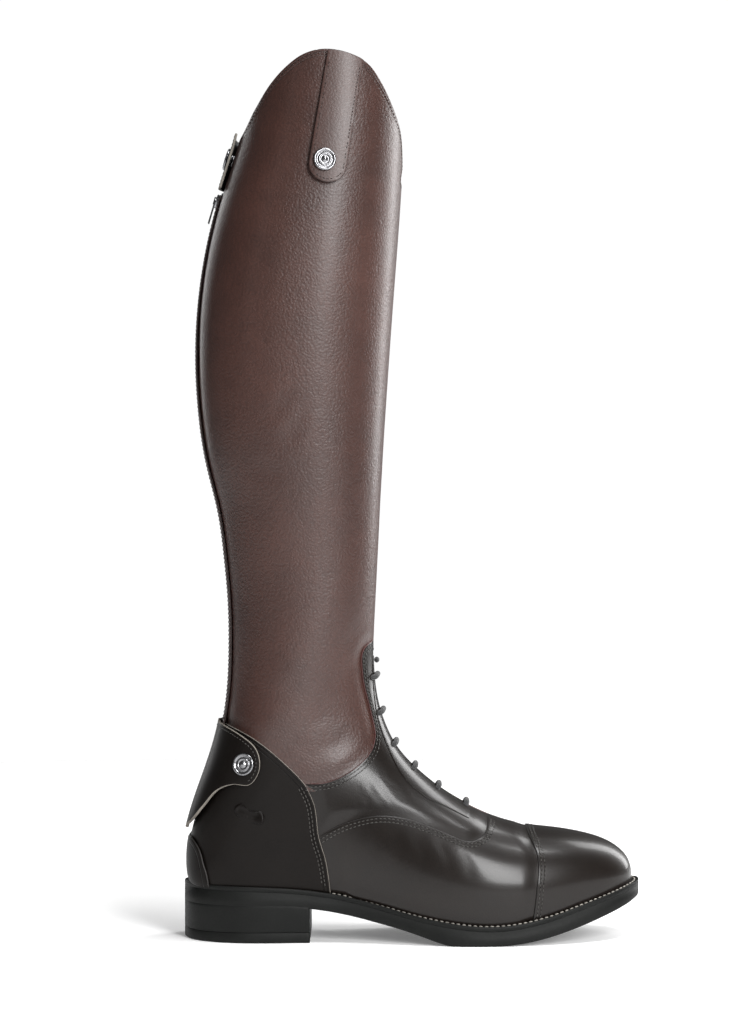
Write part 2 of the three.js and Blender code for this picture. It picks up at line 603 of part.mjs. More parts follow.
// the slider rides on the calf's arc, so its parts are turned to the back line at its height
const SLIDER_BELOW_TOP = 6;
const SLIDER_Z = ZIP_TOP_Z - SLIDER_BELOW_TOP;
const backX = (z) => lengthwise * calfX(z / upward);
const SLIDER_ANGLE = Math.atan((backX(SLIDER_Z + 1) - backX(SLIDER_Z - 1)) / 2);
const SLIDER_LENGTH = 8.4;
const SLIDER_WIDTH = 8.6;
const SLIDER_BASE = 2;
const SLIDER_PLATE = 1.1;
const BAIL_HEIGHT = 1.6;
const PULL_THICKNESS = 0.7;
const PULL_LENGTH = 15;
const PULL_WIDTH = 6;
// moves a solid drawn with x outward from the leather, y sideways and z up the zip
function onZip(geometry, angle) {
  const place = new THREE.Matrix4().makeBasis(
    new THREE.Vector3(-Math.cos(angle), 0, Math.sin(angle)),
    new THREE.Vector3(0, -1, 0),
    new THREE.Vector3(Math.sin(angle), 0, Math.cos(angle)),
  );
  place.setPosition(backX(SLIDER_Z), 0, SLIDER_Z);
  return toSolid(geometry.applyMatrix4(place));
}
const box = (x0, x1, y0, y1, z0, z1) => new THREE.BoxGeometry(x1 - x0, y1 - y0, z1 - z0)
  .translate((x0 + x1) / 2, (y0 + y1) / 2, (z0 + z1) / 2);
function makeSlider() {
  const top = SLIDER_BASE + SLIDER_PLATE;
  const half = SLIDER_LENGTH / 2;
  const wing = SLIDER_WIDTH / 2;
  const outline = new THREE.Shape();
  outline.moveTo(-wing * 0.62, -half);
  outline.lineTo(wing * 0.62, -half);
  outline.quadraticCurveTo(wing, 0, wing, half * 0.7);
  outline.lineTo(wing * 0.5, half);
  outline.lineTo(-wing * 0.5, half);
  outline.lineTo(-wing, half * 0.7);
  outline.quadraticCurveTo(-wing, 0, -wing * 0.62, -half);
  const plate = new THREE.ExtrudeGeometry(outline, {
    depth: SLIDER_PLATE, bevelEnabled: false, curveSegments: 5,
  });
  plate.applyMatrix4(new THREE.Matrix4().set(0, 0, 1, SLIDER_BASE, 1, 0, 0, 0, 0, 1, 0, 0, 0, 0, 0, 1));
  const keel = box(TEETH_PROUD + 0.35, SLIDER_BASE + 0.2, -1.9, 1.9, -half + 0.6, half - 0.6);
  const bail = box(top - 0.2, top + BAIL_HEIGHT, -1.1, 1.1, -2.4, 2.4);
  const window = box(top, top + BAIL_HEIGHT - 0.55, -2, 2, -1.6, 1.6);
  return onZip(plate, SLIDER_ANGLE).add(onZip(keel, SLIDER_ANGLE))
    .add(onZip(bail, SLIDER_ANGLE).subtract(onZip(window, SLIDER_ANGLE)));
}
const PULL_HEIGHT = SLIDER_BASE + SLIDER_PLATE + 0.52;
function makePull() {
  const middle = PULL_HEIGHT;
  const low = middle - PULL_THICKNESS / 2 + 0.17;
  const high = middle + PULL_THICKNESS / 2 - 0.17;
  const plate = box(low, high + 0.3, -PULL_WIDTH / 2, PULL_WIDTH / 2, -PULL_LENGTH, 0.35);
  const window = box(low - 1, high + 1, -1.5, 1.5, -3.4, -0.35);
  const lightening = box(low - 1, high + 1, -1.2, 1.2, -PULL_LENGTH + 2, -PULL_LENGTH + 5);
  const bar = box(high, high + 2, -1.5, 1.5, -0.6, 0.6);
  return onZip(plate, SLIDER_ANGLE).subtract(onZip(window, SLIDER_ANGLE))
    .subtract(onZip(lightening, SLIDER_ANGLE)).subtract(onZip(bar, SLIDER_ANGLE));
}

// ---------- snaps ----------
// solid of revolution about the leather's normal at a surface point
function onSurface(profile, s, q) {
  const at = surfacePoint(s, q, 0);
  const normal = surfacePoint(s, q, 1).sub(at).normalize();
  const turn = new THREE.Quaternion().setFromUnitVectors(new THREE.Vector3(0, 1, 0), normal);
  const geometry = new THREE.LatheGeometry(profile.map(([r, h]) => new THREE.Vector2(r, h)), 20);
  geometry.applyMatrix4(new THREE.Matrix4().makeRotationFromQuaternion(turn).setPosition(at));
  const solid = toSolid(geometry);
  return solid.volume() > 0 ? solid : toSolid(reversedFaces(geometry));
}
function reversedFaces(geometry) {
  const copy = geometry.clone();
  copy.setIndex(Array.from(copy.index.array).reverse());
  return copy;
}
const BARREL_RADIUS = 1.8;
const FLANGE_RADIUS = 3.6;
function capProfile(under, over) {
  const rim = SNAP_DIAMETER / 2;
  const foot = over + CLEARANCE;
  return [
    [0, under - 0.9], [FLANGE_RADIUS, under - 0.9], [FLANGE_RADIUS, under - CLEARANCE],
    [BARREL_RADIUS, under - CLEARANCE],
    [BARREL_RADIUS, foot], [rim, foot], [rim, foot + 0.8], [rim - 1, foot + 1.5],
    [rim - 2.4, foot + 1.5], [rim - 2.9, foot + 1.1], [rim - 4, foot + 1.3],
    [1.5, foot + SNAP_DOME - 0.3], [0, foot + SNAP_DOME],
  ];
}
const STUD_PROFILE = [[0, 0.42], [3.7, 0.42], [3.7, 0.7], [0, 0.7]];
// the hole for a cap's barrel, with the leather pressed flat under its rim and over its flange
function seatProfile(under, over) {
  const rim = SNAP_DIAMETER / 2 + CLEARANCE;
  const barrel = BARREL_RADIUS + CLEARANCE;
  const flange = FLANGE_RADIUS + CLEARANCE;
  return [
    [0, under - 6], [flange, under - 6], [flange, under], [barrel, under], [barrel, over],
    [rim, over], [rim, over + 6], [0, over + 6],
  ];
}

// section and place on the ring of a point given in the side view, on the outer side
function locate(x, z) {
  const [px, pz] = [x * lengthwise, z * upward];
  const side = (s) => {
    const fx = columns[FRONT_X](s);
    const fz = columns[FRONT_Z](s);
    return (columns[BACK_X](s) - fx) * (pz - fz) - (columns[BACK_Z](s) - fz) * (px - fx);
  };
  let low = 0;
  let high = TOP_SECTION;
  for (let i = 0; i < 50; i += 1) {
    const middle = (low + high) / 2;
    if (side(middle) * side(low) > 0) low = middle;
    else high = middle;
  }
  const s = (low + high) / 2;
  const chord = new THREE.Vector2(
    columns[BACK_X](s) - columns[FRONT_X](s),
    columns[BACK_Z](s) - columns[FRONT_Z](s),
  );
  const reach = new THREE.Vector2(px - columns[FRONT_X](s), pz - columns[FRONT_Z](s));
  const f = reach.dot(chord) / chord.lengthSq();
  return [s, Math.acos(1 - 2 * THREE.MathUtils.clamp(f, 0, 1)) / Math.PI];
}
const dressSnap = locate(47.2, 483.4);
const heelSnap = locate(-1.2, 111);
const rearSnap = [sectionAtBack(490 * upward), 1];

// ---------- lacing ----------
const LACE_PLACES = [
  [78.2, 165.2], [82.3, 143], [90.6, 121.8], [103.2, 106], [118.5, 93.6], [136.3, 82.8],
];
function makeLace([x, z], diameter, halfSpan) {
  const [s] = locate(x - 1, z - 1);
  const lift = CLEARANCE * 2 + OVERLAY + diameter / 2;
  const points = [];
  for (let i = -4; i <= 4; i += 1) {
    const y = (halfSpan * i) / 4;
    let low = 0;
    let high = 0.6;
    for (let k = 0; k < 30; k += 1) {
      const middle = (low + high) / 2;
      if (Math.abs(surfacePoint(s, middle, lift).y - columns[SIDEWAYS](s)) < Math.abs(y)) low = middle;
      else high = middle;
    }
    const point = surfacePoint(s, low, lift);
    points.push(new THREE.Vector3(point.x, y, point.z));
  }
  const section = new THREE.Shape().absarc(0, 0, diameter / 2, 0, 2 * Math.PI);
  return toSolid(new THREE.ExtrudeGeometry(section, {
    steps: 8, curveSegments: 5, extrudePath: new THREE.CatmullRomCurve3(points),
  }));
}
function makeKnot() {
  const [s] = locate(78, 174.6);
  const at = surfacePoint(s, 1e-9, CLEARANCE * 2 + OVERLAY + 2);
  return toSolid(new THREE.SphereGeometry(2, 10, 8).scale(1, 1.7, 1).translate(at.x, at.y, at.z));
}

// ---------- spur rest, a moulded bump on each side of the counter ----------
function makeSpurRest(side) {
  const [s, q] = locate(0.5, 81);
  const at = surfacePoint(s, -side * q, 0);
  const bump = new THREE.SphereGeometry(1, 14, 10).scale(9, 3, 3.6)
    .rotateY(THREE.MathUtils.degToRad(22)).translate(at.x, at.y, at.z);
  return toSolid(bump).subtract(body(CLEARANCE, LEG_ONLY));
}

// ---------- sole ----------
const WELT_INNER = 7; // how far the welt reaches in under the upper
const WELT_END_X = 55 * lengthwise;
const weltRing = solePlate(soleExtension, weltTop, weltBottom)
  .subtract(solePlate(() => -WELT_INNER, (x) => weltTop(x) + 5, (x) => weltTop(x) - 30));
const makeWelt = () => weltRing.intersect(block(WELT_END_X, FAR, -FAR, FAR, -FAR, FAR));
const makeHeelRand = () => weltRing.intersect(block(-FAR, WELT_END_X - CLEARANCE, -FAR, FAR, -FAR, FAR));
const makeOutsole = () => solePlate(soleExtension, (x) => weltBottom(x) - CLEARANCE, soleBottom);
const breastCut = block(HEEL_BREAST_X * lengthwise, FAR, -FAR, FAR, -FAR, FAR);
const heelPlate = (top, bottom) => solePlate((s) => soleExtension(s) - 0.4, top, bottom, 9)
  .subtract(breastCut);
const makeHeelBlock = () => heelPlate(
  (x) => soleBottom(x) - CLEARANCE,
  () => TOP_PIECE_THICKNESS + CLEARANCE,
);
const makeHeelTopPiece = () => heelPlate(() => TOP_PIECE_THICKNESS, () => 0);
const makeFiller = () => solePlate(
  () => -WELT_INNER - CLEARANCE, (x) => weltTop(x) - CLEARANCE, weltBottom, 2, 9,
);
function makeShank() {
  const steps = [10, 11, 12, 13, 14];
  const rings = steps.map((s) => {
    const x = columns[BACK_X](s);
    const top = weltTop(x) - CLEARANCE;
    const half = SHANK_WIDTH / 2;
    return [[-half, top], [half, top], [half, top - SHANK_THICKNESS], [-half, top - SHANK_THICKNESS]]
      .map(([y, z]) => new THREE.Vector3(x, y, z));
  });
  return loft(rings);
}
const insoleBase = (x) => weltTop(x) + CLEARANCE;
const makeInsole = () => solePlate(
  () => -footDepth - 0.5, (x) => insoleBase(x) + INSOLE_THICKNESS, insoleBase, 0.7,
);
const insockBase = (x) => insoleBase(x) + INSOLE_THICKNESS + CLEARANCE;
const makeInsock = () => solePlate(
  () => -footDepth - 0.8, (x) => insockBase(x) + INSOCK_THICKNESS, insockBase, 0.7,
);

// ---------- materials and the finished group ----------
const material = (color, roughness, metalness = 0) => () => new THREE.MeshStandardMaterial({
  color, roughness, metalness,
});
const brownLeather = material('#4a342d', 0.55);
const blackLeather = material('#24211f', 0.35);
const lightLining = material('#3a332e', 0.9);
const rubber = material('#1f2020', 0.7);
const board = material('#8a7355', 0.9);
const elastic = material('#2b2b2b', 0.95);
const metal = material('#b8b8ba', 0.25, 1);
const tapeCloth = material('#1c1716', 0.95);

const group = new THREE.Group();
function place(name, solid, makeMaterial) {
  const mesh = new THREE.Mesh(toGeometry(solid), makeMaterial());
  mesh.name = name;
  group.add(mesh);
}

const SIDES = [['outer', -1], ['inner', 1]];
place('shaft_leather', makeShaft(), brownLeather);
place('shaft_lining', makeShaftLining(), lightLining);
place('foot_lining', makeFootLining(), lightLining);
place('toe_cap', makeToeCap(), blackLeather);
place('vamp', makeVamp(), blackLeather);
place('heel_counter', makeCounter(), blackLeather);
place('tongue', makeTongue(), blackLeather);
place('toe_puff', makeToePuff(), board);
place('heel_stiffener', makeHeelStiffener(), board);
place('backstay', makeBackstay(), blackLeather);
for (const [name, side] of SIDES) {
  place(`quarter_${name}`, makeQuarter(side), blackLeather);
  place(`lace_facing_${name}`, makeFacing(side), blackLeather);
  place(`spur_rest_${name}`, makeSpurRest(side), blackLeather);
  place(`zip_tape_${name}`, makeTape(side), tapeCloth);
  place(`zip_teeth_${name}`, makeTeeth(side), tapeCloth);
  place(`zip_facing_${name}`, makeZipFacing(side), brownLeather);
}
LACE_PLACES.forEach((at, i) => {
  place(`lace_${i + 1}`, makeLace(at, LACE_DIAMETER, LACE_HALF_SPAN), elastic);
});
place('lace_knot', makeKnot(), elastic);
place('zip_top_stop', makeStop(ZIP_TOP_Z - 2.5, ZIP_TOP_Z - 0.5), metal);
place('zip_bottom_stop', makeStop(ZIP_BOTTOM_Z + 0.5, ZIP_BOTTOM_Z + 2.6), metal);
place('zip_slider', makeSlider(), metal);
place('zip_pull', makePull(), metal);

// a leather piece with the cap and the stud of its snap
function placeSnap(pieceName, capName, studName, piece, standOff, thickness, at, makeMaterial) {
  const outer = standOff + thickness;
  place(pieceName, piece.subtract(onSurface(seatProfile(standOff, outer), ...at)), makeMaterial);
  place(capName, onSurface(capProfile(standOff, outer), ...at), metal);
  place(studName, onSurface(STUD_PROFILE, ...at), metal);
}
placeSnap(
  'heel_flap', 'heel_snap_cap', 'heel_snap_stud',
  makeHeelFlap(), FLAP_STAND_OFF, FLAP_THICKNESS, heelSnap, blackLeather,
);
placeSnap(
  'rear_tab', 'rear_snap_cap', 'rear_snap_stud',
  makeRearTab(), FLAP_STAND_OFF, OVERLAY, rearSnap, blackLeather,
);
placeSnap(
  'dress_strap', 'dress_snap_cap', 'dress_snap_stud',
  makeStrap(), STRAP_STAND_OFF, STRAP_THICKNESS, dressSnap, brownLeather,
);
place('heel_flap_root', makeFlapRoot(), blackLeather);
place('rear_tab_root', makeTabRoot(), blackLeather);
place('dress_strap_root', makeStrapRoot(), brownLeather);

place('welt', makeWelt(), rubber);
place('heel_rand', makeHeelRand(), rubber);
place('outsole', makeOutsole(), rubber);
place('heel_block', makeHeelBlock(), rubber);
place('heel_top_piece', makeHeelTopPiece(), rubber);
place('cork_filler', makeFiller(), board);
place('shank', makeShank(), metal);
place('insole_board', makeInsole(), board);
place('insock', makeInsock(), lightLining);

export default group;
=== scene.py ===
import json
import math

import bmesh
import bpy
import numpy as np
from bpy.props import FloatProperty, FloatVectorProperty, PointerProperty
from mathutils import Matrix, Vector
from mathutils.kdtree import KDTree

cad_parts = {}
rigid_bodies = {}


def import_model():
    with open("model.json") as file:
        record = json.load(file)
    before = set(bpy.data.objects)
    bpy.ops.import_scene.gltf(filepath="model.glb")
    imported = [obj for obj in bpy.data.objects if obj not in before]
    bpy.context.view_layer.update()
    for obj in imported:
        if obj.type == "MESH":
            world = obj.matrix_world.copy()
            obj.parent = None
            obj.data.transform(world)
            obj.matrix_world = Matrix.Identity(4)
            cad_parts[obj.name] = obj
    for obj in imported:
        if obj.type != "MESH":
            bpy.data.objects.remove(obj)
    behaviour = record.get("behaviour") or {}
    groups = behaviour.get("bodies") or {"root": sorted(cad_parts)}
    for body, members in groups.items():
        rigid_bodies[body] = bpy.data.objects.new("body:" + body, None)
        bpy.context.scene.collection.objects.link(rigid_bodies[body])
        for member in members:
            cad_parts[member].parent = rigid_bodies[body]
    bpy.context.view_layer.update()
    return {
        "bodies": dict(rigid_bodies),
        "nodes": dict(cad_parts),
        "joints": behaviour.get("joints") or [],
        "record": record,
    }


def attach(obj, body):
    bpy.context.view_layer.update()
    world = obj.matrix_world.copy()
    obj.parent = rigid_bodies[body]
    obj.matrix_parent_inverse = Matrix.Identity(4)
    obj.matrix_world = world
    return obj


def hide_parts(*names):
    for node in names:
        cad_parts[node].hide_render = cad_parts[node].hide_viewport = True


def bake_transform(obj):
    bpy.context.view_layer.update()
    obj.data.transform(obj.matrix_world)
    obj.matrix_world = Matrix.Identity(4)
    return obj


bl_info = {
    "name": "Riding Boot",
    "version": (1, 0, 0),
    "blender": (4, 5, 0),
    "location": "3D View > Sidebar > Riding Boot",
    "description": "Builds a tall zipped and laced riding boot around its measured frame",
    "category": "Object",
}

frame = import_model()
MM = 0.001

# ---------------------------------------------------------------- the last
# Flat rings from the toe over the instep up the leg, in millimetres: front x and z, back x and
# z, half width, half width at the feather line, where it is widest, roundness of the front and
# of the back, sideways shift, top of the welt and bottom of the sole under the ring.
FRONT_X, FRONT_Z, BACK_X, BACK_Z, HALF, FEATHER, WIDEST, ROUND_FRONT, ROUND_BACK = range(9)
SIDEWAYS, WELT_TOP, SOLE_BOTTOM = 9, 10, 11
CALF_RADIUS = 345.0
CALF_CENTRE = (311.8, 366.0)


def calf_x(z):
    """Back line of the calf, an arc that the zip slider follows."""
    return CALF_CENTRE[0] - math.sqrt(CALF_RADIUS**2 - (z - CALF_CENTRE[1]) ** 2)


RINGS = [
    (241.8, 40.5, 241.4, 33.5, 3, 2.5, 0.5, 2, 2, 7, 34.5, 24),
    (239.8, 47, 240.4, 33.2, 10, 9, 0.6, 2, 2, 7, 34.2, 23.5),
    (235.5, 53, 236.5, 32, 18, 16.5, 0.65, 2, 2, 7, 33, 21.7),
    (225, 60, 226, 28.6, 28, 26, 0.7, 2.1, 2, 6.5, 29.6, 17.5),
    (208, 65.2, 208, 23, 37, 34.5, 0.7, 2.2, 2.2, 5, 24, 11),
    (190, 68.2, 190, 17.3, 42.5, 39.5, 0.7, 2.2, 2.2, 3, 18.3, 5.5),
    (172, 70.6, 171, 12.9, 45.8, 42.5, 0.7, 2.2, 2.2, 1, 13.9, 1.5),
    (154, 75.6, 150, 11.1, 47.3, 43.5, 0.7, 2.15, 2.2, -1, 12.1, -0.6),
    (137, 83.3, 128, 12.8, 46.8, 42, 0.68, 2.1, 2.2, -2, 13.8, -0.6),
    (119, 94.2, 104, 17.1, 43.5, 36.5, 0.66, 2.05, 2.1, -2, 18.1, 6.5),
    (103.5, 107, 80, 23.3, 39.8, 31.5, 0.62, 2, 2.1, -1.2, 24.3, 13),
    (92.5, 119.5, 55, 29, 37.2, 29.5, 0.58, 2, 2.1, -0.5, 30, 18.6),
    (85.3, 133.5, 28, 32.6, 36, 31.5, 0.56, 2, 2.1, 0, 33.6, 22),
    (81, 147, 2, 34, 36.2, 33, 0.54, 2, 2.2, 0, 35, 22.4),
    (78.8, 160, -20, 34.6, 37, 28, 0.52, 2, 2.3, 0, 35.6, 22.4),
    (78, 171, -33.5, 35.5, 37.6, 17, 0.5, 2, 2.4, 0, 35.9, 22.4),
    (77.8, 179, -38.3, 40, 38, 5, 0.5, 2, 2.5, 0, 35.9, 22.4),
    (77.9, 187, -39.3, 52, 38.2, 0, 0.5, 2, 2.5, 0, 35.9, 22.4),
    (78.1, 195.5, -37, 68, 38.6, 0, 0.5, 2.05, 2.4, 0, 35.9, 22.4),
    (78.6, 205, -30.8, 89, 39, 0, 0.5, 2.05, 2.3, 0, 35.9, 22.4),
    (79.1, 215, -23, 111, 39.3, 0, 0.5, 2.1, 2.2, 0, 35.9, 22.4),
    (79.7, 227, -16.6, 134, 39.8, 0, 0.5, 2.1, 2.15, 0, 35.9, 22.4),
    (80.4, 241, -13.2, 158, 40.5, 0, 0.5, 2.1, 2.1, 0, 35.9, 22.4),
    (81.2, 257, -12.2, 184, 41.3, 0, 0.5, 2.1, 2.1, 0, 35.9, 22.4),
    (82, 274, -12.8, 212, 42.8, 0, 0.5, 2.1, 2.1, 0, 35.9, 22.4),
    (83, 292, -15.4, 241, 45.2, 0, 0.5, 2.1, 2.1, 0, 35.9, 22.4),
    (84.2, 313, calf_x(270), 270, 47.8, 0, 0.5, 2.1, 2.1, 0, 35.9, 22.4),
    (85.7, 336, calf_x(300), 300, 50.4, 0, 0.5, 2.15, 2.15, 0, 35.9, 22.4),
    (87.4, 361, calf_x(332), 332, 53, 0, 0.5, 2.15, 2.15, 0, 35.9, 22.4),
    (89.3, 388, calf_x(366), 366, 55.2, 0, 0.5, 2.15, 2.15, 0, 35.9, 22.4),
    (91.4, 416, calf_x(402), 402, 56.6, 0, 0.5, 2.2, 2.2, 0, 35.9, 22.4),
    (93.6, 445, calf_x(438), 438, 57.2, 0, 0.5, 2.2, 2.2, 0, 35.9, 22.4),
    (95.6, 475, calf_x(472), 472, 57.2, 0, 0.5, 2.2, 2.2, 0, 35.9, 22.4),
    (97.2, 505, -6.4, 505, 56.8, 0, 0.5, 2.2, 2.2, 0, 35.9, 22.4),
    (97.8, 533, -1.6, 533, 56, 0, 0.5, 2.2, 2.2, 0, 35.9, 22.4),
    (98, 562, 2, 562, 55, 0, 0.5, 2.2, 2.2, 0, 35.9, 22.4),
]
TOP_RING = len(RINGS) - 1.0
HEEL_BACK = 16.45
FLAT = 0.1  # share of the ring's coordinate that crosses its flat underside


class Column:
    """Natural cubic spline through one column of the rings."""

    def __init__(self, values):
        n = len(values)
        self.values = np.array(values, float)
        bend = np.zeros(n)
        work = np.zeros(n)
        for i in range(1, n - 1):
            p = 0.5 * bend[i - 1] + 2
            bend[i] = -0.5 / p
            sharp = values[i + 1] - 2 * values[i] + values[i - 1]
            work[i] = (3 * sharp - 0.5 * work[i - 1]) / p
        for i in range(n - 2, 0, -1):
            bend[i] = bend[i] * bend[i + 1] + work[i]
        bend[0] = 0
        self.bend = bend

    def __call__(self, t):
        t = np.asarray(t, float)
        i = np.clip(np.floor(t), 0, len(self.values) - 2).astype(int)
        b = t - i
        a = 1 - b
        curve = ((a**3 - a) * self.bend[i] + (b**3 - b) * self.bend[i + 1]) / 6
        return a * self.values[i] + b * self.values[i + 1] + curve


COLUMN = [Column([ring[c] for ring in RINGS]) for c in range(12)]


def edge_line(s, x_column, z_column, offset):
    """Front or back line of the boot, moved outward."""
    dx = COLUMN[x_column](s + 0.02) - COLUMN[x_column](s - 0.02)
    dz = COLUMN[z_column](s + 0.02) - COLUMN[z_column](s - 0.02)
    length = np.maximum(np.hypot(dx, dz), 1e-9)
    side = 1 if x_column == FRONT_X else -1
    x = COLUMN[x_column](s) + side * dz * offset / length
    z = COLUMN[z_column](s) - side * dx * offset / length
    return np.minimum(x, COLUMN[FRONT_X](0) + offset), z


def half_width(s, f, offset):
    """Half width of ring s at share f of the way from its front to its back."""
    widest = COLUMN[WIDEST](s)
    feather = np.maximum(COLUMN[FEATHER](s), 0)
    bottom = np.maximum(feather + offset * np.minimum(1, feather / 10), 0)
    bottom = np.where(s > HEEL_BACK + 0.5, 0, bottom)
    full = np.maximum(COLUMN[HALF](s) + offset, 0.4)
    n = COLUMN[ROUND_FRONT](s)
    before = full * np.maximum(1 - np.maximum((widest - f) / widest, 0) ** n, 0) ** (1 / n)
    n = COLUMN[ROUND_BACK](s)
    along = np.clip((f - widest) / (1 - widest), 0, 1)
    after = bottom + np.maximum(full - bottom, 0) * np.maximum(1 - along**n, 0) ** (1 / n)
    return np.where(f < widest, before, after)


def surface(s, q, offset=0.0):
    """Points of the boot. q runs from 0 on the front line to 1 on the outer lower or back
    edge, over the underside to 1 + FLAT, and on round the inner side. Below 0 it runs the other
    way round. s below 0 closes the toe."""
    s, q, offset = np.broadcast_arrays(*(np.asarray(v, float) for v in (s, q, offset)))
    toe = np.clip(-s, 0, 1)
    s = np.maximum(s, 0)
    crossing = np.clip((q - 1) / FLAT, 0, 1)
    past = q >= 1 + FLAT
    share = np.where(past, 2 + FLAT - q, np.minimum(np.abs(q), 1))
    f = (1 - np.cos(math.pi * share)) / 2
    front = edge_line(s, FRONT_X, FRONT_Z, offset)
    back = edge_line(s, BACK_X, BACK_Z, offset)
    half = half_width(s, f, offset)
    turn = np.where(past | (q < 0), 1.0, -1.0)
    turn = np.where((q > 1) & ~past, 2 * crossing - 1, turn)
    p = np.stack([
        front[0] + (back[0] - front[0]) * f,
        COLUMN[SIDEWAYS](s) + turn * half,
        front[1] + (back[1] - front[1]) * f,
    ], axis=-1)
    centre = np.stack([back[0] + 0.4, COLUMN[SIDEWAYS](s), back[1]], axis=-1)
    return centre + (p - centre) * (1 - toe)[..., None]


def outward(s, q, offset=0.0):
    """Unit normals of the boot's surface."""
    ds = surface(s + 0.03, q, offset) - surface(np.maximum(s - 0.03, -1), q, offset)
    dq = surface(s, q + 0.006, offset) - surface(s, q - 0.006, offset)
    n = np.cross(ds, dq)
    out = surface(s, q, offset + 1.0) - surface(s, q, offset)
    n = np.where(np.sum(n * out, axis=-1, keepdims=True) < 0, -n, n)
    size = np.linalg.norm(n, axis=-1, keepdims=True)
    return np.where(size > 1e-9, n / np.maximum(size, 1e-9), out)


def locate(points):
    """Ring and place on its outer side of points (x, z) of the side view."""
    p = np.asarray(points, float)

    def side(s):
        fx, fz = COLUMN[FRONT_X](s), COLUMN[FRONT_Z](s)
        dx, dz = COLUMN[BACK_X](s) - fx, COLUMN[BACK_Z](s) - fz
        return dx * (p[:, 1] - fz) - dz * (p[:, 0] - fx)

    low = np.zeros(len(p))
    high = np.full(len(p), TOP_RING)
    first = side(low)
    for _ in range(50):
        middle = (low + high) / 2
        same = side(middle) * first > 0
        low = np.where(same, middle, low)
        high = np.where(same, high, middle)
    s = (low + high) / 2
    fx, fz = COLUMN[FRONT_X](s), COLUMN[FRONT_Z](s)
    dx, dz = COLUMN[BACK_X](s) - fx, COLUMN[BACK_Z](s) - fz
    f = ((p[:, 0] - fx) * dx + (p[:, 1] - fz) * dz) / (dx * dx + dz * dz)
    return np.stack([s, np.arccos(1 - 2 * np.clip(f, 0, 1)) / math.pi], axis=-1)


def place_at_y(s, y, near_back, offset=0.0):
    """Place on the outer side of ring s where the surface is y away from the middle plane."""
    s = np.asarray(s, float)
    low = np.full(s.shape, 0.7 if near_back else 0.0)
    high = np.full(s.shape, 1.0 if near_back else 0.5)
    for _ in range(22):
        middle = (low + high) / 2
        wide = np.abs(surface(s, middle, offset)[..., 1] - COLUMN[SIDEWAYS](s)) > abs(y)
        inward = wide if near_back else ~wide
        low = np.where(inward, middle, low)
        high = np.where(inward, high, middle)
    return (low + high) / 2


def ring_at_back(z):
    """Ring whose back point is at height z."""
    s = np.linspace(HEEL_BACK, TOP_RING, 2000)
    return np.interp(z, COLUMN[BACK_Z](s), s)


def ring_at_front(z):
    """Ring whose front point is at height z, on the leg."""
    s = np.linspace(8, TOP_RING, 2000)
    return np.interp(z, COLUMN[FRONT_Z](s), s)


def ring_under(x):
    """Ring whose feather line passes x."""
    s = np.linspace(0, HEEL_BACK, 2000)
    return np.interp(-x, -COLUMN[BACK_X](s), s)


def smooth_line(points, step=1.5):
    """Smooth line through a few points of the side view, as short straight steps."""
    p = np.array(points, float)
    chord = np.concatenate([[0], np.cumsum(np.linalg.norm(np.diff(p, axis=0), axis=1) ** 0.5)])
    m = np.zeros_like(p)
    h = np.diff(chord)[:, None]
    slope = np.diff(p, axis=0) / h
    m[1:-1] = (slope[:-1] * h[1:] + slope[1:] * h[:-1]) / (h[1:] + h[:-1])
    m[0] = 1.5 * slope[0] - 0.5 * m[1]
    m[-1] = 1.5 * slope[-1] - 0.5 * m[-2]
    out = []
    for i in range(len(p) - 1):
        count = max(2, int(np.linalg.norm(p[i + 1] - p[i]) / step) + 1)
        t = np.linspace(0, 1, count, endpoint=False)[:, None]
        a = (2 * t**3 - 3 * t**2 + 1) * p[i] + (t**3 - 2 * t**2 + t) * h[i] * m[i]
        b = (-2 * t**3 + 3 * t**2) * p[i + 1] + (t**3 - t**2) * h[i] * m[i + 1]
        out.append(a + b)
    out.append(p[-1:])
    return np.concatenate(out)


def beside(line, distance):
    """The line moved to its left."""
    line = np.asarray(line, float)
    along = np.empty_like(line)
    along[1:-1] = line[2:] - line[:-2]
    along[0] = line[1] - line[0]
    along[-1] = line[-1] - line[-2]
    along /= np.maximum(np.linalg.norm(along, axis=1, keepdims=True), 1e-9)
    return line + distance * np.stack([-along[:, 1], along[:, 0]], axis=1)


def evened(points, step):
    """The same line with even steps, in any number of dimensions."""
    p = np.asarray(points, float)
    length = np.concatenate([[0], np.cumsum(np.linalg.norm(np.diff(p, axis=0), axis=1))])
    count = max(2, int(round(length[-1] / step)) + 1)
    at = np.linspace(0, length[-1], count)
    return np.stack([np.interp(at, length, p[:, k]) for k in range(p.shape[1])], axis=1)


def mirrored(path):
    """The same path on the inner side, reached over the front."""
    return np.asarray(path)[::-1] * [1, -1]


def round_back(path):
    """The same path on the inner side, reached round the back."""
    path = np.asarray(path)[::-1]
    return np.stack([path[:, 0], 2 + FLAT - path[:, 1]], axis=1)


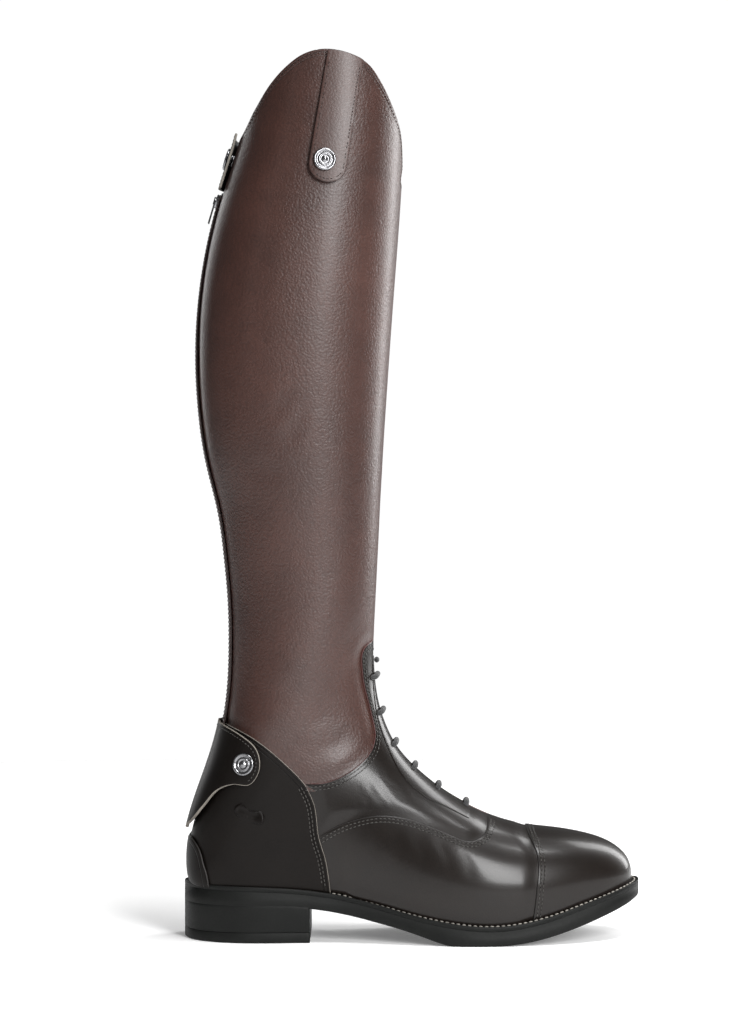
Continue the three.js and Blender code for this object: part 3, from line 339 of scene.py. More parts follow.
# ---------------------------------------------------------------- seam lines, side view, mm
CAP_SEAM = smooth_line([(174.6, 84), (174.6, 70), (180, 54), (179, 33), (175.5, 5)])
VAMP_SEAM = smooth_line([
    (151, 98), (150.6, 77), (146, 67), (137.5, 63.8), (118, 70.6), (98, 77.5), (80, 79.2),
    (60, 74.4), (43.5, 65.8),
])
COUNTER_TOP = smooth_line([(-50, 139), (-24, 137), (1.9, 127.8), (26.4, 108), (34.8, 98.8)])
COUNTER_FRONT = smooth_line([(34.8, 98.8), (40.6, 86), (43.5, 65.8), (48, 50), (52, 15)])
SHAFT_SEAM = smooth_line([
    (34.8, 98.8), (50, 100.2), (65.5, 107.8), (76, 118), (79, 128), (76, 144), (71.4, 164),
    (71.6, 181), (79.5, 187.3), (100, 188),
])
OUTER_ARCH = smooth_line([
    (99, 474.5), (95.4, 474.5), (96, 486), (94.6, 506), (89, 521), (82, 534), (74, 544),
    (60, 550.5), (46, 552), (34, 549), (23.5, 542), (13.5, 532), (3.7, 518), (-8, 501),
    (-30, 494),
])
INNER_ARCH = smooth_line([(99, 474.5), (95.4, 474.5), (60, 484), (20, 493), (-8, 501), (-30, 494)])
FACING_FOLD = smooth_line([
    (77, 171), (79.6, 142), (86, 122), (96, 103), (109, 91), (123, 84), (137, 77),
])
BACKSTAY_EDGE = smooth_line([(-50, 66), (-38, 65), (-31, 58), (-27.6, 48), (-25.2, 35)])
FLAP_EDGE = smooth_line([
    (-60, 137), (-21, 136.4), (-10, 132.3), (-1.5, 127.3), (4.7, 122), (7.6, 115), (7.2, 107),
    (2, 99.4), (-8, 98.8), (-17, 94.6), (-26, 83.5), (-36, 71), (-42, 67.5), (-60, 67),
])
LACE_PLACES = [
    (78.2, 165.2), (82.3, 143), (90.6, 121.8), (103.2, 106), (118.5, 93.6), (136.3, 82.8),
]
LACE_GAP = 3.5
ZIP_BOTTOM_Z, ZIP_TOP_Z, ZIP_GAP = 96.0, 470.0, 7.0
HEEL_SNAP, DRESS_SNAP, REAR_SNAP_Z = (-1.2, 111.0), (47.2, 483.4), 490.0

# ---------------------------------------------------------------- modelling
CUT_EDGE, THREAD = 1, 2  # material slots of a panel, after the leather's face
LEATHER = 1.9  # thickness of the outer leather
SIDES = ((1, "outer"), (-1, "inner"))
RING_FINE = np.linspace(-1, TOP_RING, 1800)
SIDE_LENGTH = 170.0  # how long one side of a ring counts when a panel is cut up


def _ring_length():
    """Length along the boot up to each of the fine rings."""
    steps = [np.linalg.norm(np.diff(surface(RING_FINE, q), axis=0), axis=1) for q in (0.0, 1.0)]
    return np.concatenate([[0], np.cumsum(np.maximum(*steps))])


RING_LENGTH = _ring_length()


def flat_place(path):
    """(s, q) laid out flat in about true millimetres."""
    path = np.asarray(path, float)
    u = np.interp(path[:, 0], RING_FINE, RING_LENGTH)
    return np.stack([u, path[:, 1] * SIDE_LENGTH], axis=1)


def tidy_outline(path, least=0.35):
    """The outline without points that sit on top of the one before."""
    flat = flat_place(path)
    kept = [0]
    for i in range(1, len(flat)):
        if np.linalg.norm(flat[i] - flat[kept[-1]]) > least:
            kept.append(i)
    if np.linalg.norm(flat[kept[-1]] - flat[0]) < least:
        kept.pop()
    return np.asarray(path)[kept]


def cut_panel(outline, cell):
    """A bmesh that fills the outline of (s, q) with a net of small cells, with s and q."""
    flat = flat_place(tidy_outline(outline))
    bm = bmesh.new()
    bm.faces.new([bm.verts.new((u, v, 0)) for u, v in flat])
    for axis in (0, 1):
        at = math.ceil(flat[:, axis].min() / cell) * cell + cell * 0.37
        while at < flat[:, axis].max():
            plane = Vector((at, 0, 0)) if axis == 0 else Vector((0, at, 0))
            way = Vector((1, 0, 0)) if axis == 0 else Vector((0, 1, 0))
            bmesh.ops.bisect_plane(
                bm, geom=bm.verts[:] + bm.edges[:] + bm.faces[:], dist=1e-5,
                plane_co=plane, plane_no=way,
            )
            at += cell
    co = np.array([v.co for v in bm.verts], float)
    return bm, np.interp(co[:, 0], RING_LENGTH, RING_FINE), co[:, 1] / SIDE_LENGTH


def nearest(points, line):
    """Distance of each point to a densely stepped line."""
    tree = KDTree(len(line))
    for i, p in enumerate(line):
        tree.insert(p, i)
    tree.balance()
    return np.array([tree.find(p)[2] for p in points])


def seam_points(path, offset=0.0, step=0.5):
    """A seam of (s, q) as dense points on the boot."""
    return evened(surface(*np.asarray(path, float).T, offset), step)


def ease(x):
    x = np.clip(x, 0, 1)
    return x * x * (3 - 2 * x)


def dips(points, seams):
    """How far a lower leather sinks near the seams where another one covers it."""
    down = np.zeros(len(points))
    for line, depth, reach in seams:
        down = np.maximum(down, depth * (1 - ease((nearest(points, line) - 0.6) / reach)))
    return -down


def shift_on_surface(path, distance, offset=0.0, towards=None):
    """A path of (s, q) moved across itself by millimetres, to its left seen from outside, or
    to the side where the place towards lies."""
    s, q = np.asarray(path, float).T
    p = surface(s, q, offset)
    n = outward(s, q, offset)
    t = np.gradient(p, axis=0)
    t /= np.maximum(np.linalg.norm(t, axis=1, keepdims=True), 1e-9)
    across = np.cross(n, t)
    if towards is not None and np.sum((surface(*towards, offset) - p) * across) < 0:
        across = -across
    js = (surface(s + 0.02, q, offset) - surface(np.maximum(s - 0.02, -1), q, offset)) / 0.04
    jq = (surface(s, q + 0.004, offset) - surface(s, q - 0.004, offset)) / 0.008
    a, b, c = np.sum(js * js, 1), np.sum(js * jq, 1), np.sum(jq * jq, 1)
    d, e = np.sum(js * across, 1) * distance, np.sum(jq * across, 1) * distance
    det = np.maximum(a * c - b * b, 1e-9)
    return np.stack([s + (c * d - b * e) / det, q + (a * e - b * d) / det], axis=1)


def rim_directions(edges):
    """For each vertex of the open edges, the way out of the panel along its surface."""
    total = {}
    for e in edges:
        middle = (e.verts[0].co + e.verts[1].co) / 2
        along = (e.verts[1].co - e.verts[0].co).normalized()
        out = middle - e.link_faces[0].calc_center_median()
        out -= along * out.dot(along)
        if out.length > 1e-9:
            out.normalize()
        for v in e.verts:
            total[v] = total.get(v, Vector()) + out * e.calc_length()
    found = {}
    for v, out in total.items():
        out = out - v.normal * out.dot(v.normal)
        found[v] = out.normalized() if out.length > 1e-9 else Vector()
    return found


def extrude_rim(bm, edges, place):
    """Extrudes open edges once. place gives the new position for the vertex each one grew
    from. Returns the new edges and what each new vertex grew from."""
    old = {v for e in edges for v in e.verts}
    made = bmesh.ops.extrude_edge_only(bm, edges=edges)["geom"]
    grown = {}
    for v in (g for g in made if isinstance(g, bmesh.types.BMVert)):
        source = next(e.other_vert(v) for e in v.link_edges if e.other_vert(v) in old)
        v.co = place(source)
        grown[v] = source
    fresh = [
        g for g in made
        if isinstance(g, bmesh.types.BMEdge) and g.verts[0] in grown and g.verts[1] in grown
    ]
    return fresh, grown


def thicken(bm, thickness, rounding, truth):
    """Gives a panel its back and a rim with rounded edges. truth gives the true outward
    normals of some vertices, to turn the faces by."""
    bmesh.ops.remove_doubles(bm, verts=bm.verts[:], dist=0.3)
    bmesh.ops.dissolve_degenerate(bm, dist=0.02, edges=bm.edges[:])
    loose = [v for v in bm.verts if not v.link_faces]
    bmesh.ops.delete(bm, geom=loose, context="VERTS")
    bmesh.ops.recalc_face_normals(bm, faces=bm.faces[:])
    bm.normal_update()
    if truth(bm) < 0:
        bmesh.ops.reverse_faces(bm, faces=bm.faces[:])
    bm.normal_update()
    front = set(bm.faces)
    border = [e for e in bm.edges if e.is_boundary]
    out = rim_directions(border)
    where = {v: (v.co.copy(), v.normal.copy()) for v in bm.verts}
    copy = bmesh.ops.duplicate(bm, geom=bm.verts[:] + bm.edges[:] + bm.faces[:])
    twins = {a: b for a, b in copy["vert_map"].items() if a in where}
    for a, b in twins.items():
        b.co = where[a][0] - where[a][1] * thickness
    back = [g for g in copy["geom"] if isinstance(g, bmesh.types.BMFace)]
    bmesh.ops.reverse_faces(bm, faces=back)
    r = rounding
    profile = [(0.45 * r, 0.12 * r), (0.85 * r, 0.5 * r), (r, r)]
    if thickness > 2.4 * r:
        profile.append((r, thickness - r))
    profile.append((0.0, thickness))
    roots = {v: v for v in out}
    edges = border
    for a, b in profile:
        def spot(source, a=a, b=b):
            co, normal = where[roots[source]]
            return co + out[roots[source]] * a - normal * b

        edges, grown = extrude_rim(bm, edges, spot)
        roots.update({new: roots[source] for new, source in grown.items()})
    last = {v for e in edges for v in e.verts}
    targets = {v: twins[roots[v]] for v in last}
    bmesh.ops.weld_verts(bm, targetmap=targets)
    covered = front.union(back)
    for f in bm.faces:
        if f not in covered:
            f.material_index = CUT_EDGE
    bmesh.ops.recalc_face_normals(bm, faces=bm.faces[:])
    if bm.calc_volume(signed=True) < 0:
        bmesh.ops.reverse_faces(bm, faces=bm.faces[:])


STITCH_LENGTH, STITCH_PITCH, STITCH_WIDTH = 2.0, 2.7, 0.62


def frames_along(path, offset, pitch):
    """Places along a path of (s, q): position, direction and outward normal every pitch."""
    dense = evened_on_surface(path, offset, 0.4)
    p = surface(*dense.T, offset)
    n = outward(*dense.T, 0.0)
    length = np.concatenate([[0], np.cumsum(np.linalg.norm(np.diff(p, axis=0), axis=1))])
    t = np.gradient(p, axis=0)
    t /= np.maximum(np.linalg.norm(t, axis=1, keepdims=True), 1e-9)
    at = np.arange(pitch / 2, length[-1] - pitch / 4, pitch)

    def pick(values):
        return np.stack([np.interp(at, length, values[:, k]) for k in range(3)], axis=1)

    return pick(p), pick(t), pick(n)


def evened_on_surface(path, offset, step):
    """The path of (s, q) with even steps along the boot."""
    path = np.asarray(path, float)
    p = surface(*path.T, offset)
    length = np.concatenate([[0], np.cumsum(np.linalg.norm(np.diff(p, axis=0), axis=1))])
    at = np.linspace(0, length[-1], max(2, int(length[-1] / step)))
    return np.stack([np.interp(at, length, path[:, k]) for k in (0, 1)], axis=1)


def turned(direction, normal, position, scale):
    """Matrix whose x follows a direction and whose z follows a normal."""
    x = Vector(direction).normalized()
    z = Vector(normal)
    z = (z - x * z.dot(x)).normalized()
    y = z.cross(x)
    turn = Matrix((x, y, z)).transposed().to_4x4()
    size = Matrix.Diagonal((*scale, 1.0))
    return Matrix.Translation(Vector(position)) @ turn @ size


STITCHES_AT_ONCE = 30


def add_beads(bm, matrices, slot_index=0):
    """Adds a small closed bead for each matrix, a few at a time to stay quick."""
    for start in range(0, len(matrices), STITCHES_AT_ONCE):
        part = bmesh.new()
        for matrix in matrices[start:start + STITCHES_AT_ONCE]:
            bmesh.ops.create_uvsphere(
                part, u_segments=6, v_segments=4, radius=1.0, matrix=matrix,
            )
        for f in part.faces:
            f.material_index = slot_index
        mesh = bpy.data.meshes.new("beads")
        part.to_mesh(mesh)
        part.free()
        bm.from_mesh(mesh)
        bpy.data.meshes.remove(mesh)


def sew(bm, path, offset, pitch=STITCH_PITCH, length=STITCH_LENGTH, width=STITCH_WIDTH, sink=0.1):
    """A row of stitches along a path of (s, q). They lie half in the leather."""
    matrices = []
    for p, t, n in zip(*frames_along(path, offset, pitch)):
        at = np.array(p) + np.array(n) * (width * 0.22 - sink)
        matrices.append(turned(t, n, at, (length / 2, width / 2, width / 2)))
    add_beads(bm, matrices, slot_index=THREAD)


def finish_mesh(bm, name, materials, body, nodes=(), seams=None, ride=True):
    """Turns a bmesh in millimetres into a finished piece that stands for its CAD nodes. seams
    are stitched edges whose distance the leather's grain and grooves read."""
    if seams is not None:
        layer = bm.verts.layers.float.get("edge") or bm.verts.layers.float.new("edge")
        points = np.array([v.co for v in bm.verts], float)
        distance = nearest(points, np.concatenate(seams)) if seams else np.full(len(points), 99.0)
        for v, d in zip(bm.verts, distance):
            v[layer] = d
    bmesh.ops.scale(bm, vec=(MM, MM, MM), verts=bm.verts[:])
    for f in bm.faces:
        f.smooth = True
    mesh = bpy.data.meshes.new(name)
    bm.to_mesh(mesh)
    bm.free()
    for material in materials:
        mesh.materials.append(material)
    piece = bpy.data.objects.new(name, mesh)
    bpy.context.scene.collection.objects.link(piece)
    if ride:
        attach(piece, body)
    if nodes:
        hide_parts(*nodes)
    return piece


CREASES = [
    # x and z of both ends in the side view, width and depth of the fold
    (66, 100, 82, 76, 2.0, 0.09), (70, 104, 88, 78, 1.9, 0.10), (75, 106, 93, 83, 2.1, 0.10),
    (80, 108, 98, 86, 1.9, 0.09), (62, 96, 76, 74, 1.9, 0.06), (86, 110, 103, 90, 2.0, 0.07),
    (90, 74, 96, 52, 3.0, 0.09), (104, 73, 112, 46, 3.2, 0.10), (118, 68, 128, 42, 3.5, 0.12),
    (130, 62, 141, 38, 3.5, 0.10), (76, 70, 80, 50, 3.0, 0.07),
    (38, 338, 22, 306, 5.5, 0.35), (30, 346, 14, 322, 5.5, 0.28), (2, 300, 22, 286, 6.6, 0.24),
    (40, 120, 66, 128, 6.6, 0.42), (36, 134, 62, 146, 7.7, 0.35), (20, 128, 44, 112, 5.5, 0.28),
    (10, 150, 40, 158, 8.8, 0.28),
]


def creases(p):
    """Depth of the soft folds of a worn boot at points of its surface."""
    down = np.zeros(len(p))
    x, z = p[:, 0], p[:, 2]
    wander = 0.8 * np.sin(x * 0.37 + 1.3 * np.sin(z * 0.21)) + 0.5 * np.sin(z * 0.53 + x * 0.11)
    for x0, z0, x1, z1, width, depth in CREASES:
        length = math.hypot(x1 - x0, z1 - z0)
        ux, uz = (x1 - x0) / length, (z1 - z0) / length
        along = (x - x0) * ux + (z - z0) * uz
        across = (x - x0) * -uz + (z - z0) * ux + wander
        fade = ease(along / (0.3 * length)) * ease((length - along) / (0.3 * length))
        down += depth * fade * (np.exp(-((across / width) ** 2)) - 0.5 * np.exp(
            -(((np.abs(across) - 1.7 * width) / width) ** 2)))
    return -down


def panel(outline, cell, offset, thickness, rounding=0.3, covered=(), folds=True, lift=None):
    """A leather panel on the last. offset is how far its outer face stands off the last,
    covered the seams where another leather lies over it."""
    bm, s, q = cut_panel(outline, cell)
    base = surface(s, q, 0.0)
    stand = np.full(len(s), float(offset)) if not callable(offset) else offset(base)
    sunk = dips(base, covered) if covered else np.zeros(len(s))
    stand = stand + sunk
    if folds:
        stand = stand + creases(base) * (1 - np.minimum(-sunk / 0.4, 1))
    if lift is not None:
        stand = stand + lift(base)
    p = surface(s, q, stand)
    out = outward(s, q, 0.0)
    for v, at in zip(bm.verts, p):
        v.co = at

    probe = p[:: max(1, len(p) // 300)]
    way = out[:: max(1, len(p) // 300)]

    def truth(mesh):
        tree = KDTree(len(mesh.verts))
        verts = list(mesh.verts)
        for i, v in enumerate(verts):
            tree.insert(v.co, i)
        tree.balance()
        return sum(verts[tree.find(a)[1]].normal.dot(Vector(b)) for a, b in zip(probe, way))

    thicken(bm, thickness, rounding, truth)
    return bm


def lathe(bm, profile, position, normal):
    """A turned part on an axis: profile of (radius, height)."""
    verts = [bm.verts.new((r, 0, h)) for r, h in profile]
    edges = [bm.edges.new(pair) for pair in zip(verts, verts[1:])]
    bmesh.ops.spin(
        bm, geom=verts + edges, cent=(0, 0, 0), axis=(0, 0, 1), angle=2 * math.pi, steps=40,
        use_merge=True, use_duplicate=False,
    )
    bmesh.ops.remove_doubles(bm, verts=bm.verts[:], dist=1e-4)
    bmesh.ops.recalc_face_normals(bm, faces=bm.faces[:])
    turn = Vector((0, 0, 1)).rotation_difference(Vector(normal)).to_matrix().to_4x4()
    bmesh.ops.transform(bm, matrix=Matrix.Translation(Vector(position)) @ turn, verts=bm.verts[:])


def tube(bm, points, radius, sides):
    """A round cord through points, closed at both ends by domes."""
    p = evened(points, radius * 0.5)
    t = np.gradient(p, axis=0)
    circle = bmesh.ops.create_circle(bm, cap_ends=False, radius=1.0, segments=sides)["verts"]
    home = {v: v.co.copy() for v in circle}
    edges = list({e for v in circle for e in v.link_edges})
    count = len(p)
    roots = {v: v for v in circle}

    def size(i):
        end = min(i, count - 1 - i) * radius * 0.5
        grow = math.sqrt(max(1 - max(1 - end / radius, 0) ** 2, 0.02))
        return radius * grow

    def frame(i):
        z = Vector(t[i]).normalized()
        x = Vector((0, 0, 1)).cross(z)
        x = x.normalized() if x.length > 0.1 else Vector((1, 0, 0))
        return Matrix((x, z.cross(x), z)).transposed()

    first = frame(0)
    for v in circle:
        v.co = first @ (home[v] * size(0)) + Vector(p[0])
    ends = [list(edges)]
    for i in range(1, count):
        turn = frame(i)

        def spot(source, i=i, turn=turn):
            return turn @ (home[roots[source]] * size(i)) + Vector(p[i])

        edges, grown = extrude_rim(bm, edges, spot)
        roots.update({new: roots[source] for new, source in grown.items()})
    ends.append(edges)
    for ring in ends:
        bmesh.ops.contextual_create(bm, geom=list(ring))
    bmesh.ops.recalc_face_normals(bm, faces=bm.faces[:])


def stack(bm, loops, closed=False):
    """A body through rings of equally many points, extruded from the first to the last."""
    verts = [bm.verts.new(p) for p in loops[0]]
    edges = [bm.edges.new((a, b)) for a, b in zip(verts, verts[1:] + verts[:1])]
    number = {v: i for i, v in enumerate(verts)}
    for loop in loops[1:] + (loops[:1] if closed else []):
        def spot(source, loop=loop):
            return Vector(loop[number[source]])

        edges, grown = extrude_rim(bm, edges, spot)
        number.update({new: number[source] for new, source in grown.items()})
    bmesh.ops.remove_doubles(bm, verts=bm.verts[:], dist=0.02)
    bmesh.ops.recalc_face_normals(bm, faces=bm.faces[:])
    if bm.calc_volume(signed=True) < 0:
        bmesh.ops.reverse_faces(bm, faces=bm.faces[:])


# ---------------------------------------------------------------- sole outline
WELT_OUT, HEEL_OUT, WELT_THICK, TOP_PIECE, BREAST_X = 4.6, 2.6, 3.0, 6.5, 38.0


def under(column, x):
    """Height of the welt's top or the sole's bottom under x, carried on past toe and heel."""
    toe = COLUMN[BACK_X](0)
    inner = COLUMN[BACK_X](2)
    run = (COLUMN[column](0) - COLUMN[column](2)) / (toe - inner)
    return np.where(x > toe, COLUMN[column](0) + run * (x - toe), COLUMN[column](ring_under(x)))


def welt_top(x):
    return under(WELT_TOP, x)


def sole_bottom(x):
    return np.maximum(under(SOLE_BOTTOM, x), 0)


def sole_outline(extra, start=0.0, breast=None):
    """Closed outline of the sole on the floor plan, moved outward by extra beyond its usual
    edge. breast cuts it straight across at that x. Returns it with its centre line."""
    toe_part, side_part = np.linspace(0, 3, 26), np.linspace(3.15, 14.5, 70)
    s = np.concatenate([toe_part, side_part, np.linspace(14.6, HEEL_BACK, 22)])
    s = s[s >= start]
    x, y, half = COLUMN[BACK_X](s), COLUMN[SIDEWAYS](s), np.maximum(COLUMN[FEATHER](s), 0.3)
    across = np.linspace(-1, 1, 7)[1:-1]
    heel = np.stack([np.full(5, x[-1]), y[-1] + across * half[-1]], axis=1)
    toe = np.stack([np.full(5, x[0]), y[0] - across * half[0]], axis=1)
    rim = np.concatenate([
        np.stack([x, y - half], axis=1), heel, np.stack([x, y + half], axis=1)[::-1], toe,
    ])
    line = np.stack([x, y], axis=1)
    middle = np.concatenate([
        line, heel * [1, 0] + [0, y[-1]], line[::-1], toe * [1, 0] + [0, y[0]],
    ])
    way = np.roll(rim, -1, axis=0) - np.roll(rim, 1, axis=0)
    way /= np.maximum(np.linalg.norm(way, axis=1, keepdims=True), 1e-9)
    share = ease((np.interp(-rim[:, 0], -x, s) - 9.5) / 3)
    out = (WELT_OUT + (HEEL_OUT - WELT_OUT) * share + extra)[:, None]
    away = np.stack([-way[:, 1], way[:, 0]], axis=1)
    if np.sum(away * (rim - middle)) < 0:
        away = -away
    grown = rim + away * out
    if breast is not None:
        grown[:, 0] = np.minimum(grown[:, 0], breast)
        middle[:, 0] = np.minimum(middle[:, 0], breast)
    return grown, middle


def sole_loops(sections, breast=None, start=0.0):
    """Rings for sections of (extra, height at x), the first and last closed on the centre."""
    loops = []
    for extra, height in sections:
        rim, middle = sole_outline(extra if extra is not None else 0.0, start, breast)
        plan = middle if extra is None else rim
        loops.append(np.column_stack([plan, height(plan[:, 0])]))
    return loops


# ---------------------------------------------------------------- finishes
class Finish:
    """Builds one node material step by step."""

    def __init__(self, name, **fixed):
        self.material = bpy.data.materials.new(name)
        self.material.use_nodes = True
        self.nodes = self.material.node_tree.nodes
        self.links = self.material.node_tree.links
        self.shader = self.nodes["Principled BSDF"]
        for key, value in fixed.items():
            self.shader.inputs[key.replace("_", " ")].default_value = value
        self.coords = self.nodes.new("ShaderNodeTexCoord").outputs["Object"]

    def put(self, socket, value):
        if isinstance(value, bpy.types.NodeSocket):
            self.links.new(value, socket)
        elif value is not None:
            socket.default_value = value

    def noise(self, scale, detail=3.0, rough=0.55, vector=None):
        node = self.nodes.new("ShaderNodeTexNoise")
        self.put(node.inputs["Vector"], vector or self.coords)
        node.inputs["Scale"].default_value = scale
        node.inputs["Detail"].default_value = detail
        node.inputs["Roughness"].default_value = rough
        return node.outputs["Fac"]

    def cells(self, scale, feature="F1", vector=None):
        node = self.nodes.new("ShaderNodeTexVoronoi")
        node.feature = feature
        self.put(node.inputs["Vector"], vector or self.coords)
        node.inputs["Scale"].default_value = scale
        return node.outputs["Distance"]

    def wave(self, scale, vector=None, direction="X", distortion=0.0):
        node = self.nodes.new("ShaderNodeTexWave")
        node.bands_direction = direction
        self.put(node.inputs["Vector"], vector or self.coords)
        node.inputs["Scale"].default_value = scale
        node.inputs["Distortion"].default_value = distortion
        return node.outputs["Fac"]

    def warped(self, scale, amount):
        """Coordinates pushed about by a noise, amount in metres."""
        node = self.nodes.new("ShaderNodeTexNoise")
        self.put(node.inputs["Vector"], self.coords)
        node.inputs["Scale"].default_value = scale
        shift = self.nodes.new("ShaderNodeVectorMath")
        shift.operation = "MULTIPLY_ADD"
        self.put(shift.inputs[0], node.outputs["Color"])
        shift.inputs[1].default_value = (amount, amount, amount)
        self.put(shift.inputs[2], self.coords)
        return shift.outputs["Vector"]

    def turned(self, rotation, scale=(1, 1, 1)):
        node = self.nodes.new("ShaderNodeMapping")
        self.put(node.inputs["Vector"], self.coords)
        node.inputs["Rotation"].default_value = rotation
        node.inputs["Scale"].default_value = scale
        return node.outputs["Vector"]

    def attribute(self, name):
        node = self.nodes.new("ShaderNodeAttribute")
        node.attribute_name = name
        return node.outputs["Fac"]

    def ramp(self, value, stops, interpolation="LINEAR"):
        node = self.nodes.new("ShaderNodeValToRGB")
        node.color_ramp.interpolation = interpolation
        self.put(node.inputs["Fac"], value)
        elements = node.color_ramp.elements
        while len(elements) < len(stops):
            elements.new(0.5)
        for element, (at, colour) in zip(elements, stops):
            element.position = at
            if not isinstance(colour, (tuple, list)):
                colour = (colour, colour, colour)
            element.color = (*colour[:3], 1.0)
        return node.outputs["Color"]

    def sum(self, a, b, operation="ADD"):
        node = self.nodes.new("ShaderNodeMath")
        node.operation = operation
        self.put(node.inputs[0], a)
        self.put(node.inputs[1], b)
        return node.outputs["Value"]

    def mix(self, factor, a, b):
        node = self.nodes.new("ShaderNodeMix")
        node.data_type = "RGBA"
        self.put(node.inputs["Factor"], factor)
        for key, value in (("A", a), ("B", b)):
            socket = next(i for i in node.inputs if i.name == key and i.type == "RGBA")
            linked = isinstance(value, bpy.types.NodeSocket)
            self.put(socket, value if linked else (*value[:3], 1.0))
        return next(o for o in node.outputs if o.type == "RGBA")

    def bump(self, height, distance, strength=1.0, below=None):
        node = self.nodes.new("ShaderNodeBump")
        node.inputs["Strength"].default_value = strength
        node.inputs["Distance"].default_value = distance
        self.put(node.inputs["Height"], height)
        self.put(node.inputs["Normal"], below)
        return node.outputs["Normal"]

    def done(self, colour, roughness, normal=None):
        self.put(self.shader.inputs["Base Color"], colour)
        self.put(self.shader.inputs["Roughness"], roughness)
        self.put(self.shader.inputs["Normal"], normal)
        return self.material


def shade(colour, factor):
    return tuple(c * factor for c in colour[:3])


ROW_ONE, ROW_TWO, GROOVE_SPAN = 1.5, 3.6, 8.0


def leather_finish(name, colour, dark, grain, depth, gloss, grooves=2, **fixed):
    """Leather with pebbled or smooth grain, lanes pressed in by its stitch rows, a darker
    edge, uneven dye and polish, and painted shade in the lanes and in the grain's valleys."""
    f = Finish(name, **fixed)
    warped = f.warped(160.0, 0.0016)
    pebbles = f.cells(1000.0 / grain, "SMOOTH_F1", warped)
    fine = f.noise(1000.0 / grain * 1.9, 4.0, 0.6, warped)
    pores = f.cells(1000.0 / grain * 2.3, "F1")
    cloudy = f.noise(14.0, 4.0, 0.6)
    patchy = f.noise(60.0, 3.0, 0.5)
    edge = f.sum(f.attribute("edge"), GROOVE_SPAN, "DIVIDE")
    one, two, wide = ROW_ONE / GROOVE_SPAN, ROW_TWO / GROOVE_SPAN, 0.055
    stops = [(0.0, 0.35), (0.06, 1.0), (one - wide, 1.0), (one, 0.0), (one + wide, 1.0)]
    if grooves > 1:
        stops += [(two - wide, 1.0), (two, 0.0), (two + wide, 1.0)]
    lanes = f.ramp(edge, stops, "EASE")
    base = f.mix(f.ramp(cloudy, [(0.3, 0.0), (0.72, 1.0)]), dark, colour)
    base = f.mix(f.ramp(patchy, [(0.35, 0.0), (0.8, 0.35)]), base, shade(colour, 1.3))
    # painted shade: darker towards the edges of the pebbles, in the grain's valleys
    base = f.mix(f.ramp(pebbles, [(0.15, 0.0), (0.75, 0.45)]), base, shade(dark, 0.7))
    # painted shade: the leather darkens in the lanes pressed in by its stitch rows
    base = f.mix(f.ramp(lanes, [(0.0, 0.55), (1.0, 0.0)]), base, shade(dark, 0.35))
    rough = f.sum(f.ramp(fine, [(0.3, gloss - 0.07), (0.75, gloss + 0.1)]),
                  f.ramp(cloudy, [(0.3, -0.04), (0.7, 0.06)]), "ADD")
    height = f.sum(f.sum(f.ramp(pebbles, [(0.0, 1.0), (0.85, 0.0)]), 0.75, "MULTIPLY"),
                   f.sum(fine, 0.35, "MULTIPLY"))
    height = f.sum(height, f.sum(f.ramp(pores, [(0.0, 0.0), (0.2, 1.0)]), 0.12, "MULTIPLY"))
    normal = f.bump(lanes, 0.00035, 0.9)
    normal = f.bump(height, depth * MM, 1.0, normal)
    return f.done(base, rough, normal)


def plain_finish(name, colour, rough, grain_scale, depth, variation=0.25, **fixed):
    """A finish of one colour family with fine uneven grain."""
    f = Finish(name, **fixed)
    grain = f.noise(grain_scale, 5.0, 0.65)
    cloudy = f.noise(grain_scale * 0.06, 3.0, 0.5)
    pale, deep = shade(colour, 1 + variation), shade(colour, 1 - variation)
    base = f.mix(f.ramp(cloudy, [(0.3, 0.0), (0.7, 1.0)]), deep, pale)
    base = f.mix(f.ramp(grain, [(0.35, 0.0), (0.8, 0.3)]), base, shade(colour, 0.5))
    return f.done(base, f.ramp(grain, [(0.3, rough - 0.06), (0.7, rough + 0.08)]),
                  f.bump(grain, depth * MM))


def cloth_finish(name, colour, pitch, depth, rotation=(0, 0, 0)):
    """Woven cloth: two sets of threads that cross, with painted highlight on their crowns and
    painted shade between them.
    """
    f = Finish(name, Sheen_Weight=0.25)
    grid = f.turned(rotation)
    warp = f.wave(1.0 / (pitch * MM) / 2, grid, "Y", 0.3)
    weft = f.wave(1.0 / (pitch * MM) / 2, grid, "Z", 0.3)
    weave = f.sum(warp, weft, "MULTIPLY")
    fuzz = f.noise(2600.0, 4.0)
    # painted light and shade: lighter on the threads' crowns, darker in the gaps between them
    base = f.mix(weave, shade(colour, 0.45), shade(colour, 1.3))
    base = f.mix(f.ramp(fuzz, [(0.4, 0.0), (0.75, 0.5)]), base, shade(colour, 1.7))
    return f.done(base, f.ramp(fuzz, [(0.2, 0.75), (0.8, 0.95)]), f.bump(weave, depth * MM))


def chrome_finish(name, colour, rough):
    f = Finish(name, Metallic=1.0)
    haze = f.noise(900.0, 3.0)
    scratches = f.noise(300.0, 2.0, 0.5, f.turned((0.3, 0.2, 0.5), (1, 14, 1)))
    base = f.mix(f.ramp(haze, [(0.4, 0.0), (0.9, 0.5)]), colour, shade(colour, 0.75))
    return f.done(base, f.sum(f.ramp(scratches, [(0.3, rough * 0.6), (0.8, rough * 1.8)]), 0.0),
                  f.bump(scratches, 0.000012))


FINISHES = {}


